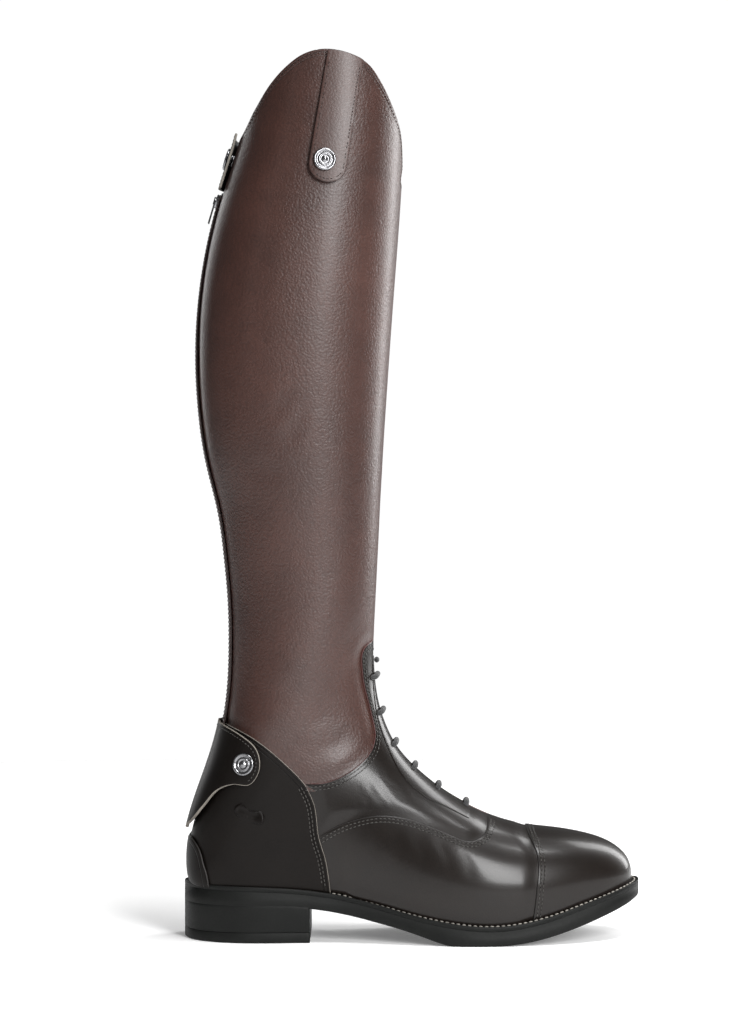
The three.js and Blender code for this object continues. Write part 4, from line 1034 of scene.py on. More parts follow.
def finishes():
    """The boot's materials, made once from the panel's colours."""
    if FINISHES:
        return FINISHES
    c = bpy.context.scene.boot_colours
    brown, black, trim = tuple(c.shaft), tuple(c.foot), tuple(c.cut_edge)
    FINISHES.update(
        brown=leather_finish(
            "brown_grained_calf", brown, shade(brown, 0.55), 1.35, 0.3, 0.42,
            Coat_Weight=0.25, Coat_Roughness=0.3,
        ),
        black=leather_finish(
            "black_polished_calf", black, shade(black, 0.6), 0.8, 0.045, 0.31,
            Coat_Weight=0.28, Coat_Roughness=0.17, Specular_IOR_Level=0.22,
        ),
        # matte black leather whose colour is set below the foot's black, partly as painted shade of
        # the heel
        counter=leather_finish(
            "black_counter_calf", shade(black, 0.6), shade(black, 0.4), 0.9, 0.03, 0.42,
            Coat_Weight=0.03, Coat_Roughness=0.3, Specular_IOR_Level=0.14,
        ),
        strap=leather_finish(
            "strap_calf", shade(brown, 0.9), shade(brown, 0.6), 1.2, 0.12, 0.42, 1,
            Coat_Weight=0.2, Coat_Roughness=0.3,
        ),
        cut=plain_finish("cut_edge", trim, 0.75, 1500.0, 0.05),
        dark_cut=plain_finish("painted_edge", (0.012, 0.010, 0.009), 0.5, 1200.0, 0.03),
        # maroon edge paint of the quarters that also paints the seam's shadow on the brown shaft
        maroon_cut=plain_finish("maroon_edge_paint_and_seam_shade", (0.05, 0.010, 0.008), 0.45, 1200.0, 0.03),
        brown_cut=plain_finish("brown_painted_edge", shade(brown, 0.3), 0.5, 1200.0, 0.03),
        thread=plain_finish("waxed_thread", tuple(c.thread), 0.5, 2400.0, 0.04),
        brown_thread=plain_finish("brown_waxed_thread", shade(brown, 0.35), 0.5, 2400.0, 0.04),
        welt_thread=plain_finish("welt_thread", (0.30, 0.28, 0.25), 0.7, 2400.0, 0.05),
        rubber=plain_finish(
            "moulded_rubber", tuple(c.sole), 0.55, 900.0, 0.03, 0.18, Specular_IOR_Level=0.18,
        ),
        chrome=chrome_finish("polished_chrome", (0.27, 0.27, 0.28), 0.22),
        elastic=cloth_finish("braided_elastic", (0.035, 0.035, 0.036), 0.5, 0.12, (0.785, 0, 0)),
        tape=cloth_finish("zip_tape_weave", (0.022, 0.012, 0.010), 0.55, 0.06),
        coil=plain_finish("nylon_coil", (0.030, 0.018, 0.015), 0.35, 1500.0, 0.02),
        lining=leather_finish(
            "lining_leather", (0.055, 0.036, 0.026), (0.035, 0.023, 0.017), 1.0, 0.04, 0.62, 1,
        ),
        board=plain_finish("fibre_board", (0.33, 0.22, 0.13), 0.85, 700.0, 0.08),
        cork=plain_finish("cork", (0.36, 0.22, 0.12), 0.9, 350.0, 0.3, 0.4),
        steel=chrome_finish("spring_steel", (0.42, 0.42, 0.43), 0.3),
    )
    return FINISHES


# ---------------------------------------------------------------- panels of the boot
def ridge_part(path, least=0.012):
    """The part of a path that has not reached the front line."""
    path = np.asarray(path)
    return path[path[:, 1] > least]


def feather_path(s_from, s_to, step=0.12):
    """Run of places on the outer feather line."""
    count = max(2, int(abs(s_to - s_from) / step) + 1)
    return np.stack([np.linspace(s_from, s_to, count), np.ones(count)], axis=1)


def both_sides(outer):
    """Outline of a panel that wraps the front: the outer path from front to front, mirrored."""
    return np.concatenate([outer, mirrored(outer)])


def seam_lines():
    """Seams as dense points on both sides of the boot, for what lies under them."""
    lines = {}
    for name, line in (("shaft", SHAFT_SEAM), ("vamp", VAMP_SEAM), ("cap", CAP_SEAM),
                       ("top", COUNTER_TOP), ("front", COUNTER_FRONT)):
        path = locate(line)
        path = path[(path[:, 1] > 0.004) | (name in ("top", "front"))]
        lines[name] = np.concatenate([seam_points(path), seam_points(path * [1, -1])])
    return lines


SEAMS = seam_lines()
OVER = 0.9  # how far a leather that passes under another one sinks


def covered_by(*names, reach=9.0):
    return [(SEAMS[name], OVER, reach) for name in names]


def heights(path):
    return surface(*np.asarray(path).T)[:, 2]


def slit_edge(s, gap=ZIP_GAP):
    """Edge of the zip slit for a run of rings."""
    s = np.asarray(s, float)
    return np.stack([s, place_at_y(s, gap, True)], axis=1)


def lace_edge(s, gap=LACE_GAP):
    s = np.asarray(s, float)
    return np.stack([s, place_at_y(s, gap, False)], axis=1)


def vamp_outline():
    seam = ridge_part(locate(VAMP_SEAM))
    front = locate(beside(COUNTER_FRONT, -6))
    front = front[(heights(front) < 66) & (front[:, 1] < 0.995)]
    cap = ridge_part(locate(beside(CAP_SEAM, 6)))
    cap = cap[cap[:, 1] < 0.995]
    low = feather_path(front[-1, 0], cap[-1, 0])
    throat = [[seam[0, 0], 0.0]]
    ridge = [[cap[0, 0], 0.0]]
    return both_sides(np.concatenate([throat, seam, front, low, cap[::-1], ridge])), seam


def cap_outline():
    seam = ridge_part(locate(CAP_SEAM))
    seam = seam[seam[:, 1] < 0.995]
    low = feather_path(seam[-1, 0], -1.0, 0.1)
    return both_sides(np.concatenate([[[seam[0, 0], 0.0]], seam, low])), seam


def quarter_outline():
    shaft = locate(SHAFT_SEAM)
    gap = place_at_y(shaft[:, 0], LACE_GAP, False)
    shaft = shaft[(shaft[:, 1] > gap) & (np.arange(len(shaft)) < len(shaft) - 2)]
    lace = lace_edge(np.linspace(shaft[-1, 0], 6.95, 60))
    vamp = locate(beside(VAMP_SEAM, 5))
    vamp = vamp[vamp[:, 1] > place_at_y(vamp[:, 0], LACE_GAP + 1, False)]
    front = locate(beside(COUNTER_FRONT, -6))[::-1]
    front = front[heights(front) > 62]
    return np.concatenate([shaft, lace, vamp[:-3], front]), shaft


def shaft_outline():
    top = locate(beside(COUNTER_TOP, -7))
    top = top[(top[:, 1] < place_at_y(top[:, 0], ZIP_GAP + 0.5, True)) & (heights(top) > 92)]
    seam = ridge_part(locate(beside(SHAFT_SEAM, -4.5)))
    seam = seam[seam[:, 0] < 17.2]
    low = np.concatenate([top, seam[3:], [[seam[-1, 0], 0.0]]])
    arch = {}
    for side, line in ((1, OUTER_ARCH), (-1, INNER_ARCH)):
        path = ridge_part(locate(line))
        arch[side] = path[path[:, 1] < place_at_y(path[:, 0], ZIP_GAP + 0.5, True)]
    ridge = [[ring_at_front(474.5), 0.0]]
    start = top[0, 0]
    outer_slit = slit_edge(np.linspace(arch[1][-1, 0], start, 80))
    inner_slit = slit_edge(np.linspace(start, arch[-1][-1, 0], 80)) * [1, -1]
    outline = np.concatenate([
        low, mirrored(low), inner_slit, arch[-1][::-1] * [1, -1], ridge, arch[1], outer_slit,
    ])
    return outline, arch


def counter_outline():
    front = locate(COUNTER_FRONT)
    front = front[front[:, 1] < 0.995]
    side = np.concatenate([front, feather_path(front[-1, 0], 14.9)])
    top = locate(COUNTER_TOP)
    top = top[top[:, 1] < place_at_y(top[:, 0], ZIP_GAP + 0.5, True)]
    slit = slit_edge(np.linspace(ring_at_back(93.0), top[0, 0], 20))
    upper = np.concatenate([slit, top])
    return np.concatenate([side, round_back(side), round_back(upper), upper]), front, top


def back_strip(z_from, z_to, y_from, y_to, steps=120):
    """Outline of a strip beside the zip, on the outer side."""
    s = ring_at_back(np.linspace(z_from, z_to, steps))
    near = np.stack([s, place_at_y(s, y_from, True)], axis=1)
    far = np.stack([s, place_at_y(s, y_to, True)], axis=1)
    return np.concatenate([near, far[::-1]]), near, far


def make(name, outline, cell, offset, thickness, materials, body, nodes, seams=(), rows=(),
         rounding=0.3, covered=(), folds=True, lift=None):
    """One finished leather panel: net, thickness, stitch rows, finish and CAD body. seams are
    paths of (s, q) that its lanes follow, rows are the stitched ones."""
    bm = panel(outline, cell, offset, thickness, rounding, covered, folds, lift)
    lines = [seam_points(path) for path in seams]
    for path in rows:
        sew(bm, path, offset)
    return finish_mesh(bm, name, materials, body, nodes, lines)


def rows_inside(path, towards, at=(ROW_ONE, ROW_TWO)):
    return [shift_on_surface(path, d, 0.0, towards) for d in at]


class BootPiece(bpy.types.Operator):
    """Shared parts of the boot's operators"""

    bl_idname = "boot.piece"
    bl_label = "Boot Piece"
    bl_options = {"REGISTER", "UNDO"}

    def build(self, f, sizes):
        raise RuntimeError("this operator builds nothing by itself")

    def execute(self, context):
        self.build(finishes(), context.scene.boot_sizes)
        return {"FINISHED"}


class BOOT_OT_shaft(BootPiece):
    """Brown shaft of grained calf with its arched top edge"""

    bl_idname = "boot.shaft"
    bl_label = "Shaft"

    def build(self, f, sizes):
        outline, arch = shaft_outline()
        covered = covered_by("shaft", "top")
        rows = [shift_on_surface(arch[1], 2.2, 0.0, (25, 0.5)),
                shift_on_surface(arch[-1] * [1, -1], 2.2, 0.0, (25, -0.5))]
        make("shaft", outline, sizes.cell / MM, 0.0, LEATHER,
             [f["brown"], f["brown_cut"], f["brown_thread"]], "boot",
             ["shaft_leather"], [arch[1], arch[-1] * [1, -1]], rows, covered=covered)


class BOOT_OT_lining(BootPiece):
    """Soft lining that shows inside the shaft"""

    bl_idname = "boot.lining"
    bl_label = "Shaft Lining"

    def build(self, f, sizes):
        _, arch = shaft_outline()
        edges = {k: shift_on_surface(v * [1, k], 1.2, 0.0, (25, 0.5 * k)) for k, v in arch.items()}
        start = ring_at_back(150.0)
        front = ring_at_front(205.0)
        low = np.stack([np.interp(np.linspace(0.9, 0, 40), [0, 0.9], [front, start]),
                        np.linspace(0.9, 0.0, 40)], axis=1)
        low[0] = slit_edge([start])[0]
        ridge = [[ring_at_front(473.0), 0.0]]
        outer = slit_edge(np.linspace(arch[1][-1, 0] - 0.1, start, 60), 7.5)[1:]
        inner = slit_edge(np.linspace(start, arch[-1][-1, 0] - 0.1, 60), 7.5)[1:] * [1, -1]
        outline = np.concatenate([
            low, mirrored(low), inner, edges[-1][::-1], ridge, edges[1], outer,
        ])
        make("shaft_lining_skin", outline, 6.0, -2.2, 1.0,
             [f["lining"], f["brown_cut"], f["brown_thread"]], "boot",
             ["shaft_lining"], folds=False)


class BOOT_OT_foot(BootPiece):
    """Black foot: quarters, vamp, toe cap, counter and backstay"""

    bl_idname = "boot.foot"
    bl_label = "Foot"

    def build(self, f, sizes):
        cell = sizes.cell / MM * 0.85  # the foot bends more than the shaft
        black = [f["black"], f["dark_cut"], f["thread"]]
        outline, seam = quarter_outline()
        for side, name in SIDES:
            flip = [1, side]
            path = seam * flip
            rows = rows_inside(path, (9, 0.25 * side))
            # the quarters' cut edge is maroon, edge paint that also paints the seam's shadow on the
            # brown
            make(f"quarter_{name}_panel", outline * flip, cell, 0.0, LEATHER,
                 [f["black"], f["maroon_cut"], f["thread"]], "boot",
                 [f"quarter_{name}"], [path], rows, 0.45, covered_by("vamp", "front"))
        outline, seam = vamp_outline()
        both = [seam, seam * [1, -1]]
        rows = [r for p, side in zip(both, (1, -1)) for r in rows_inside(p, (8, 0.75 * side))]
        make("vamp_panel", outline, cell, 0.0, LEATHER, black, "boot", ["vamp"],
             both, rows, 0.4, covered_by("cap", "front"))
        outline, seam = cap_outline()
        both = [seam, seam * [1, -1]]
        rows = [r for p, side in zip(both, (1, -1)) for r in rows_inside(p, (3, 0.5 * side))]
        make("toe_cap_panel", outline, cell, 0.0, LEATHER, black, "boot",
             ["toe_cap"], both, rows, 0.4)
        outline, front, top = counter_outline()
        whole = np.concatenate([top[4:], front])
        both = [whole, whole * [1, -1]]
        rows = []
        for side in (1, -1):
            rows += rows_inside(front[:-3] * [1, side], (15.5, 0.75 * side), (2.6, 4.4))
        make("counter_panel", outline, cell, 0.0, LEATHER, [f["counter"], f["cut"], f["thread"]],
             "boot", ["heel_counter"], both, rows, 0.25, folds=False)
        edge = locate(BACKSTAY_EDGE)
        edge = edge[edge[:, 1] < 0.985]
        side = np.concatenate([edge, feather_path(edge[-1, 0], 14.95)])
        make("backstay_panel", np.concatenate([side, round_back(side)]), 1.6, 1.5, 1.3,
             [f["counter"], f["dark_cut"], f["thread"]], "boot", ["backstay"],
             [edge, edge * [1, -1]], [], 0.5, folds=False)


class BOOT_OT_lacing(BootPiece):
    """Tongue, lace facings, the six elastic laces and their knot"""

    bl_idname = "boot.lacing"
    bl_label = "Lacing"

    def build(self, f, sizes):
        s = np.linspace(17.9, 7.2, 70)
        edge = lace_edge(s, 19)
        make("tongue_panel", np.concatenate([edge, (edge * [1, -1])[::-1]]), 2.5, -2.2, 1.1,
             [f["black"], f["dark_cut"], f["thread"]], "boot", ["tongue"],
             folds=False)
        fold = locate(FACING_FOLD)
        fold = fold[fold[:, 1] > place_at_y(fold[:, 0], LACE_GAP + 1, False)]
        inner = lace_edge(np.linspace(fold[-1, 0], fold[0, 0] + 0.6, 60))
        for side, name in SIDES:
            outline = np.concatenate([fold, inner]) * [1, side]
            make(f"facing_{name}_panel", outline, 1.6, 0.4, 0.5,
                 [f["black"], f["black"], f["thread"]], "boot",
                 [f"lace_facing_{name}"], [inner * [1, side]], [], 0.28)
        radius = sizes.lace / MM / 2
        for i, (x, z) in enumerate(LACE_PLACES):
            s = float(locate([(x - 1, z - 1)])[0, 0])
            points = []
            for y in np.linspace(-10.4, 10.4, 19):
                q = float(place_at_y(np.array([s]), y, False)[0]) * (1 if y <= 0 else -1)
                drop = 3.4 * ease((abs(y) - 7.4) / 3.0)
                points.append(surface(s, q, 0.75 + radius * 0.8 - drop))
            bm = bmesh.new()
            tube(bm, np.array(points), radius, 14)
            finish_mesh(bm, f"lace_{i + 1}_cord", [f["elastic"]], "boot",
                        [f"lace_{i + 1}"])
        s = float(locate([(78, 174.6)])[0, 0])
        at = surface(s, 0.0, 1.9)
        bm = bmesh.new()
        knot = Matrix.Translation(Vector(at)) @ Matrix.Diagonal((1.7, 2.9, 1.9, 1))
        bmesh.ops.create_icosphere(bm, subdivisions=3, radius=1.0, matrix=knot)
        finish_mesh(bm, "lace_knot_cord", [f["elastic"]], "boot", ["lace_knot"])


def snap_profile(under_face, over):
    """Half section of a snap cap: rolled rim, two rings and a low dome."""
    rim, foot = 7.0, over + 0.1
    shape = [(rim - 0.15, 0.0), (rim, 0.35), (rim, 0.9), (rim - 0.25, 1.35), (rim - 0.7, 1.6),
             (rim - 1.2, 1.55), (rim - 1.6, 1.2), (rim - 1.9, 0.75), (rim - 2.6, 0.7),
             (rim - 3.0, 0.95), (rim - 3.2, 1.35), (rim - 3.55, 1.5), (rim - 3.9, 1.3),
             (rim - 4.2, 0.95), (rim - 4.9, 0.95), (rim - 5.3, 1.35), (rim - 5.9, 1.85),
             (rim - 6.5, 2.1), (0, 2.2)]
    stem = [(0, under_face - 0.9), (3.6, under_face - 0.9), (3.6, under_face - 0.3),
            (1.8, under_face - 0.3), (1.8, foot)]
    return stem + [(r, foot + h) for r, h in shape]


def add_snap(name, s, q, under_face, over, body, node, f):
    at = surface(s, q, 0.0)
    normal = surface(s, q, 1.0) - at
    bm = bmesh.new()
    lathe(bm, snap_profile(under_face, over), at, normal / np.linalg.norm(normal))
    finish_mesh(bm, name, [f["chrome"]], body, [node])


class BOOT_OT_heel_flap(BootPiece):
    """Flap that closes over the foot of the zip, with its snap"""

    bl_idname = "boot.heel_flap"
    bl_label = "Heel Flap"

    def build(self, f, sizes):
        edge = locate(FLAP_EDGE)
        edge = edge[edge[:, 1] < 0.985]
        top, low = ring_at_back(136.5), ring_at_back(67.5)
        root = 27.0  # how far round the inner side the flap is sewn down
        back = np.array([[low + 0.02, 1.0], [low + 0.02, 1 + FLAT]])
        inner = round_back(slit_edge([top - 0.25, low + 0.9], root))
        upper = np.array([[top, 1 + FLAT], [top, 1.0]])
        outline = np.concatenate([edge, back, evened(inner, 0.12), upper])

        def stand(base):
            return 4.5 - 2.7 * ease((base[:, 1] - 10) / 12)

        seam = edge[: len(edge) // 2 + 8]
        bm = panel(outline, 1.8, stand, 2.0, 0.35, folds=False)
        row = shift_on_surface(seam[:-6], 2.0, 0.0, (19.5, 0.85))
        sew(bm, row, 4.5, pitch=2.4, length=1.7, width=0.5, sink=0.04)
        piece = finish_mesh(bm, "heel_flap_panel", [f["counter"], f["cut"], f["thread"]],
                            "heel_flap_body", ["heel_flap", "heel_flap_root"],
                            [seam_points(seam)], ride=False)
        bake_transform(piece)
        s, q = locate([HEEL_SNAP])[0]
        add_snap("heel_snap", s, q, 2.5, 4.5, "heel_flap_body", "heel_snap_cap", f)


class BOOT_OT_rear_tab(BootPiece):
    """Small tab over the zip pull, with its snap"""

    bl_idname = "boot.rear_tab"
    bl_label = "Rear Tab"

    def build(self, f, sizes):
        low, high = 471.0, 505.0
        reach, root = 14.0, 23.0  # how far the tab goes round the outer and the inner side
        middle, half = (low + high) / 2, (high - low) / 2
        angle = np.linspace(-math.pi / 2, math.pi / 2, 22)
        nose_y = np.minimum(reach - 2 + 12 * np.cos(angle), reach)
        nose = np.stack([nose_y, middle + half * np.sin(angle)], axis=1)
        outer = []
        for y, z in nose:
            s = ring_at_back(z)
            outer.append([s, float(place_at_y(np.array([s]), y, True)[0])])
        inner = []
        for z in np.linspace(high - 3, low + 1, 10):
            s = ring_at_back(z)
            inner.append([s, 2 + FLAT - float(place_at_y(np.array([s]), root, True)[0])])
        outline = np.array(outer + inner)

        def stand(base):
            return 3.9 - 2.2 * ease((base[:, 1] - 5) / 9)

        bm = panel(outline, 1.5, stand, 1.4, 0.35, folds=False)
        row = shift_on_surface(np.array(outer)[2:-2], 1.8, 0.0, (33, 1.05))
        sew(bm, row, 3.9, pitch=2.4, length=1.7, width=0.5, sink=0.04)
        piece = finish_mesh(bm, "rear_tab_panel", [f["counter"], f["cut"], f["thread"]],
                            "rear_tab_body", ["rear_tab", "rear_tab_root"],
                            [seam_points(np.array(outer))], ride=False)
        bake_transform(piece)
        add_snap("rear_snap", ring_at_back(REAR_SNAP_Z), 1.0, 2.5, 3.9, "rear_tab_body",
                 "rear_snap_cap", f)


class BOOT_OT_dress_strap(BootPiece):
    """Strap from the top edge down to its snap"""

    bl_idname = "boot.dress_strap"
    bl_label = "Dress Strap"

    def build(self, f, sizes):
        tip, lean, half = np.array([47.3, 470.0]), math.radians(9.3), 10.7
        along = np.array([math.sin(lean), math.cos(lean)])
        across = np.array([along[1], -along[0]])
        arch = OUTER_ARCH[(OUTER_ARCH[:, 1] > 512)]
        arch = arch[np.argsort(arch[:, 0])]

        def side(k):
            points = [tip + along * a + across * half * k for a in np.arange(half, 100, 1.5)]
            under_arch = [np.interp(x, arch[:, 0], arch[:, 1]) - 0.7 for x, _ in points]
            return np.array([p for p, z in zip(points, under_arch) if p[1] < z])

        turn = np.linspace(0, math.pi, 20)[:, None]
        nose = tip + along * half * (1 - np.sin(turn)) + across * half * np.cos(turn)
        right, left = side(1), side(-1)
        top = arch[(arch[:, 0] > left[-1, 0]) & (arch[:, 0] < right[-1, 0])] - [0, 0.7]
        view = np.concatenate([nose[:-1], left, top, right[::-1][:-1]])
        edge_view = np.concatenate([right[::-1], nose[1:-1], left])
        outline, edge = locate(view), locate(edge_view)

        def stand_at(z):
            return 3.6 - 1.3 * ease(((z - 470) / 82 - 0.25) / 0.5)

        def stand(base):
            return stand_at(base[:, 2])

        bm = panel(outline, 1.8, stand, 1.7, 0.35, folds=False)
        row = shift_on_surface(edge[3:-3], 1.7, 0.0, (33.5, 0.46))
        dense = evened_on_surface(row, 0.0, 0.4)
        for part in np.array_split(dense, 24):
            height = float(stand_at(np.mean(heights(part))))
            sew(bm, part, height, pitch=2.3, length=1.7, width=0.6, sink=0.0)
        piece = finish_mesh(bm, "dress_strap_panel",
                            [f["strap"], f["brown_cut"], f["brown_thread"]],
                            "dress_strap_body",
                            ["dress_strap", "dress_strap_root"], [seam_points(edge)], ride=False)
        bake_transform(piece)
        s, q = locate([DRESS_SNAP])[0]
        add_snap("dress_snap", s, q, 1.9, 3.6, "dress_strap_body", "dress_snap_cap", f)


class BOOT_OT_zip(BootPiece):
    """Zip along the back: tapes, coils and leather facings"""

    bl_idname = "boot.zip"
    bl_label = "Zip"

    def build(self, f, sizes):
        for side, name in SIDES:
            flip = [1, side]
            outline, _, _ = back_strip(ZIP_BOTTOM_Z, ZIP_TOP_Z, 2.2, 6.7)
            make(f"zip_tape_{name}_cloth", outline * flip, 3.0, -0.9, 0.8,
                 [f["tape"], f["tape"], f["thread"]], "boot",
                 [f"zip_tape_{name}"], rounding=0.15, folds=False)
            outline, near, far = back_strip(ZIP_BOTTOM_Z, 467.0, 2.7, 10.5)
            rows = [shift_on_surface(far * flip, 1.7, 0.0, (27, 0.97 * side)),
                    shift_on_surface(near * flip, 1.4, 0.0, (27, 0.85 * side))]
            make(f"zip_facing_{name}_strip", outline * flip, 2.4, 1.7, 1.4,
                 [f["brown"], f["brown_cut"], f["brown_thread"]], "boot",
                 [f"zip_facing_{name}"], [far * flip, near * flip], rows, 0.35, folds=False)
            bm = bmesh.new()
            pitch = 1.3  # the inner coil lies half a turn further up
            z = np.arange(ZIP_BOTTOM_Z + 3, ZIP_TOP_Z - 3, pitch) + (0.0 if side > 0 else pitch / 2)
            rings = ring_at_back(z)
            places = place_at_y(rings, 1.15, True) * side
            matrices = []
            for at, normal in zip(surface(rings, places, 0.15), outward(rings, places)):
                matrices.append(turned((0, 1, 0), normal, at, (1.2, 0.5, 0.8)))
            add_beads(bm, matrices)
            finish_mesh(bm, f"zip_coil_{name}", [f["coil"]], "boot",
                        [f"zip_teeth_{name}"])


class BOOT_OT_spur_rests(BootPiece):
    """Moulded rest for the spur on each side of the counter"""

    bl_idname = "boot.spur_rests"
    bl_label = "Spur Rests"

    def build(self, f, sizes):
        centre, lean = np.array([0.5, 81.0]), math.radians(-22)
        along = np.array([math.cos(lean), math.sin(lean)])
        across = np.array([-along[1], along[0]])
        straight, round_end = 5.6, 4.0  # half of the long side and the radius of its ends
        turn = np.linspace(0, 2 * math.pi, 40, endpoint=False)[:, None]
        far = np.sign(np.cos(turn)) * straight + round_end * np.cos(turn)
        outline = locate(centre + along * far + across * round_end * np.sin(turn))

        def lift(base):
            view = base[:, [0, 2]] - centre
            a, b = view @ along, view @ across
            reach = np.hypot(np.maximum(np.abs(a) - straight, 0), b) / round_end
            rim = 0.9 * np.exp(-(((reach - 0.72) / 0.2) ** 2))
            knob = 2.0 * np.exp(-(((a - 7.2) / 2.1) ** 2) - (b / 2.6) ** 2)
            return rim + knob + 0.35 * (1 - ease((reach - 0.6) / 0.4)) - 0.15

        for side, name in SIDES:
            make(f"spur_rest_{name}_pad", outline * [1, side], 0.8, 0.25, 0.9,
                 [f["counter"], f["counter"], f["thread"]], "boot",
                 [f"spur_rest_{name}"], rounding=0.3, folds=False, lift=lift)


class BOOT_OT_sole(BootPiece):
    """Welt with its stitching, outsole, stacked heel and top piece"""

    bl_idname = "boot.sole"
    bl_label = "Sole and Heel"

    def build(self, f, sizes):
        def top(drop):
            return lambda x: welt_top(x) - drop

        def low(rise):
            return lambda x: sole_bottom(x) + rise

        def flat(z):
            return lambda x: np.full(np.shape(x), z)

        bm = bmesh.new()
        welt = [
            (-7.0, top(0.0)), (-3.4, top(0.0)), (-3.0, top(0.25)), (-2.2, top(0.3)),
            (-1.7, top(0.05)), (-0.6, top(0.0)), (-0.25, top(0.12)), (0.0, top(0.45)),
            (0.0, top(WELT_THICK - 0.1)), (-7.0, top(WELT_THICK - 0.1)),
        ]
        stack(bm, sole_loops(welt), closed=True)
        rim, _ = sole_outline(-2.6)
        points = evened(np.column_stack([rim, welt_top(rim[:, 0]) + 0.08]), 0.5)
        matrices = []
        for i in range(0, len(points) - 1, 7):
            p, t = points[i], points[i + 1] - points[i]
            if p[0] > 40:
                matrices.append(turned(t, (0, 0, 1), p, (1.4, 0.55, 0.5)))
        add_beads(bm, matrices, slot_index=THREAD)
        finish_mesh(bm, "welt_strip", [f["rubber"], f["rubber"], f["welt_thread"]], "boot",
                    ["welt", "heel_rand"])
        bm = bmesh.new()
        sole = [
            (None, top(WELT_THICK - 0.4)), (-0.5, top(WELT_THICK - 0.4)),
            (-0.04, top(WELT_THICK - 0.3)), (-0.04, low(1.1)), (-0.3, low(0.4)),
            (-1.1, low(0.0)), (-6.0, low(0.0)), (None, low(0.0)),
        ]
        stack(bm, sole_loops(sole))
        finish_mesh(bm, "outsole_plate", [f["rubber"]], "boot", ["outsole"])
        start = float(ring_under(BREAST_X + 14))
        for name, node, sections in (
            ("heel_stack", "heel_block", [
                (None, low(1.8)), (-1.2, low(1.8)), (-0.08, low(1.5)), (-0.08, low(-0.7)),
                (-0.08, flat(TOP_PIECE + 0.5)), (-0.25, flat(TOP_PIECE + 0.22)),
                (-1.2, flat(TOP_PIECE + 0.2)), (None, flat(TOP_PIECE + 0.2))]),
            ("heel_tread_piece", "heel_top_piece", [
                (None, flat(TOP_PIECE + 0.1)), (-1.2, flat(TOP_PIECE + 0.1)),
                (-0.3, flat(TOP_PIECE + 0.05)), (-0.08, flat(TOP_PIECE - 0.2)),
                (-0.08, flat(0.9)), (-0.4, flat(0.25)),
                (-1.2, flat(0.0)), (None, flat(0.0))]),
        ):
            bm = bmesh.new()
            stack(bm, sole_loops(sections, BREAST_X, start))
            finish_mesh(bm, name, [f["rubber"]], "boot", [node])


KEPT = {
    "foot_lining": "lining", "toe_puff": "board", "heel_stiffener": "board",
    "insole_board": "board", "insock": "lining", "cork_filler": "cork", "shank": "steel",
    "zip_top_stop": "chrome", "zip_bottom_stop": "chrome", "zip_slider": "chrome",
    "zip_pull": "chrome", "heel_snap_stud": "chrome", "rear_snap_stud": "chrome",
    "dress_snap_stud": "chrome",
}


class BOOT_OT_inner_parts(BootPiece):
    """Finishes of the parts that keep their measured shape"""

    bl_idname = "boot.inner_parts"
    bl_label = "Inner Parts"

    def build(self, f, sizes):
        for name, finish in KEPT.items():
            for slot in frame["nodes"][name].material_slots:
                slot.material = f[finish]


def area_light(name, size, power, place, aim):
    light = bpy.data.lights.new(name, "AREA")
    light.shape = "RECTANGLE"
    light.size, light.size_y = size
    light.energy = power
    lamp = bpy.data.objects.new(name, light)
    lamp.location = place
    lamp.rotation_euler = (Vector(aim) - Vector(place)).to_track_quat("-Z", "Y").to_euler()
    bpy.context.scene.collection.objects.link(lamp)


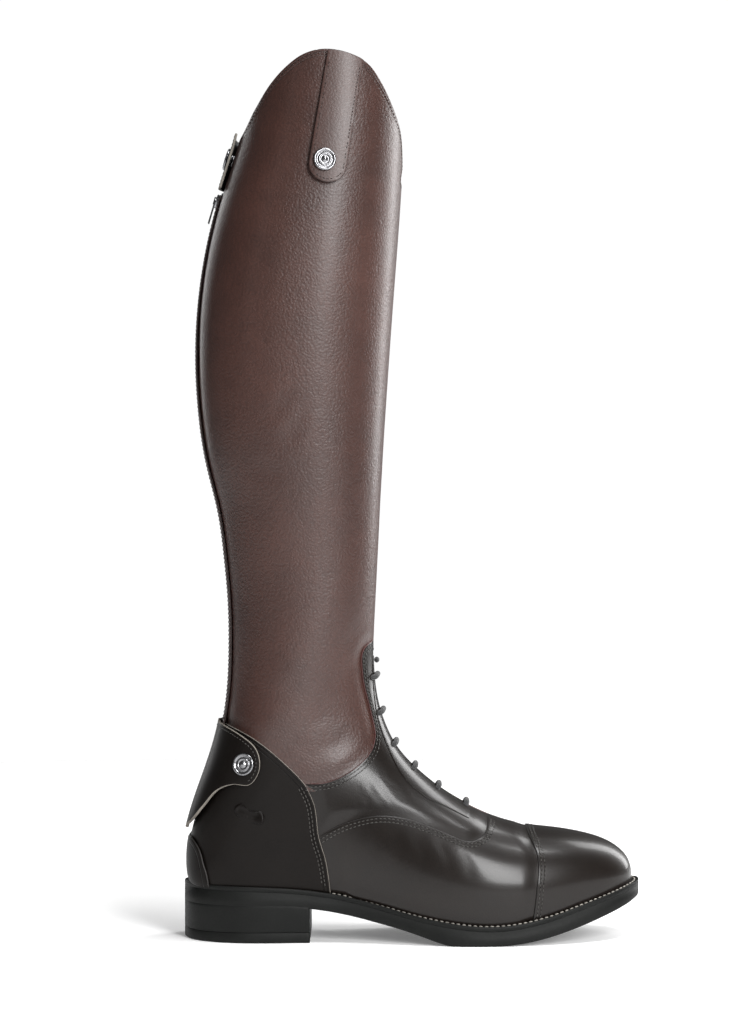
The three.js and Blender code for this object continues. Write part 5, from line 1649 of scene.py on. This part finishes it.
class BOOT_OT_stage(bpy.types.Operator):
    """Plain pale floor, soft lights and the camera"""

    bl_idname = "boot.stage"
    bl_label = "Stage"
    bl_options = {"REGISTER", "UNDO"}

    def execute(self, context):
        scene = context.scene
        bm = bmesh.new()
        bmesh.ops.create_circle(bm, cap_ends=True, segments=96, radius=1.25)
        mesh = bpy.data.meshes.new("floor")
        bm.to_mesh(mesh)
        bm.free()
        f = Finish("pale_floor", Emission_Color=(1, 1, 1, 1), Emission_Strength=0.16)
        grain = f.noise(3.0, 2.0)
        pale = f.mix(grain, (0.93, 0.93, 0.93), (0.95, 0.95, 0.95))
        mesh.materials.append(f.done(pale, f.ramp(grain, [(0.0, 0.8), (1.0, 0.9)])))
        floor = bpy.data.objects.new("floor", mesh)
        scene.collection.objects.link(floor)
        world = bpy.data.worlds.new("studio")
        world.use_nodes = True
        tree = world.node_tree
        dim = tree.nodes["Background"]
        dim.inputs["Color"].default_value = (1, 1, 1, 1)
        dim.inputs["Strength"].default_value = scene.boot_sizes.surround
        wall = tree.nodes.new("ShaderNodeBackground")
        wall.inputs["Color"].default_value = (1, 1, 1, 1)
        wall.inputs["Strength"].default_value = 1.02
        seen = tree.nodes.new("ShaderNodeLightPath")
        choice = tree.nodes.new("ShaderNodeMixShader")
        tree.links.new(seen.outputs["Is Camera Ray"], choice.inputs["Fac"])
        tree.links.new(dim.outputs["Background"], choice.inputs[1])
        tree.links.new(wall.outputs["Background"], choice.inputs[2])
        tree.links.new(choice.outputs["Shader"], tree.nodes["World Output"].inputs["Surface"])
        scene.world = world
        area_light("key", (0.5, 1.2), 40, (0.85, -1.65, 0.95), (0.06, 0, 0.27))
        area_light("fill", (0.25, 1.4), 1.0, (-1.3, -1.4, 0.9), (0.03, 0, 0.3))
        area_light("back_left", (0.3, 1.6), 6, (-0.9, 1.5, 0.9), (0.0, 0, 0.3))
        area_light("back_right", (0.5, 1.6), 22, (1.2, 0.9, 0.9), (0.05, 0, 0.25))
        area_light("over", (0.8, 0.6), 26, (0.5, -0.3, 1.9), (0.1, 0, 0.1))
        camera = bpy.data.cameras.new("camera")
        camera.lens = 97.1
        camera.sensor_width = 36
        eye = bpy.data.objects.new("camera", camera)
        turn = math.radians(scene.boot_sizes.camera_turn)
        aim, distance = Vector((0.072, 0.0, 0.268)), 1.75
        eye.location = aim + distance * Vector((math.sin(turn), -math.cos(turn), 0))
        eye.rotation_euler = (math.pi / 2, 0, turn)
        scene.collection.objects.link(eye)
        scene.camera = eye
        scene.view_settings.view_transform = "Standard"
        return {"FINISHED"}


class BootSizes(bpy.types.PropertyGroup):
    """Sizes a user may change"""

    cell: FloatProperty(
        name="Leather Net", description="Size of the cells that a leather panel is cut into",
        default=0.0026, min=0.001, unit="LENGTH",
    )
    lace: FloatProperty(
        name="Lace Diameter", description="Diameter of the elastic laces",
        default=0.0034, min=0.001, unit="LENGTH",
    )
    surround: FloatProperty(
        name="Surround", description="Strength of the light from all round", default=0.12, min=0,
    )
    camera_turn: FloatProperty(
        name="Camera Turn", description="How far the camera stands round to the toe, in degrees",
        default=0.0,
    )


def colour_property(name, description, default):
    return FloatVectorProperty(
        name=name, description=description, subtype="COLOR", default=default, min=0, max=1,
    )


class BootColours(bpy.types.PropertyGroup):
    """Colours a user may change"""

    shaft: colour_property("Shaft", "Brown of the shaft", (0.058, 0.021, 0.0145))
    foot: colour_property("Foot", "Black of the foot", (0.0105, 0.0075, 0.006))
    cut_edge: colour_property(
        "Cut Edge", "Raw edge of the counter and flap", (0.20, 0.18, 0.155),
    )
    thread: colour_property("Thread", "Stitching of the foot", (0.055, 0.052, 0.047))
    sole: colour_property("Sole", "Rubber of the sole and heel", (0.0065, 0.007, 0.0065))


STEPS = ["stage", "shaft", "lining", "foot", "lacing", "heel_flap", "rear_tab", "dress_strap",
         "zip", "spur_rests", "sole", "inner_parts"]


class BOOT_PT_panel(bpy.types.Panel):
    """Lists the boot's sizes, colours and pieces"""

    bl_idname = "BOOT_PT_panel"
    bl_label = "Riding Boot"
    bl_space_type = "VIEW_3D"
    bl_region_type = "UI"
    bl_category = "Riding Boot"

    def draw(self, context):
        for group in (context.scene.boot_sizes, context.scene.boot_colours):
            for name in group.bl_rna.properties.keys():
                if name not in ("rna_type", "name"):
                    self.layout.prop(group, name)
        for step in STEPS:
            self.layout.operator(f"boot.{step}")


CLASSES = [
    BootSizes, BootColours, BOOT_OT_stage, BOOT_OT_shaft, BOOT_OT_lining, BOOT_OT_foot,
    BOOT_OT_lacing, BOOT_OT_heel_flap, BOOT_OT_rear_tab, BOOT_OT_dress_strap, BOOT_OT_zip,
    BOOT_OT_spur_rests, BOOT_OT_sole, BOOT_OT_inner_parts, BOOT_PT_panel,
]


def register():
    for cls in CLASSES:
        bpy.utils.register_class(cls)
    bpy.types.Scene.boot_sizes = PointerProperty(type=BootSizes)
    bpy.types.Scene.boot_colours = PointerProperty(type=BootColours)


def unregister():
    del bpy.types.Scene.boot_sizes
    del bpy.types.Scene.boot_colours
    for cls in reversed(CLASSES):
        bpy.utils.unregister_class(cls)


def main():
    register()
    for step in STEPS:
        getattr(bpy.ops.boot, step)()


if __name__ == "__main__":
    main()
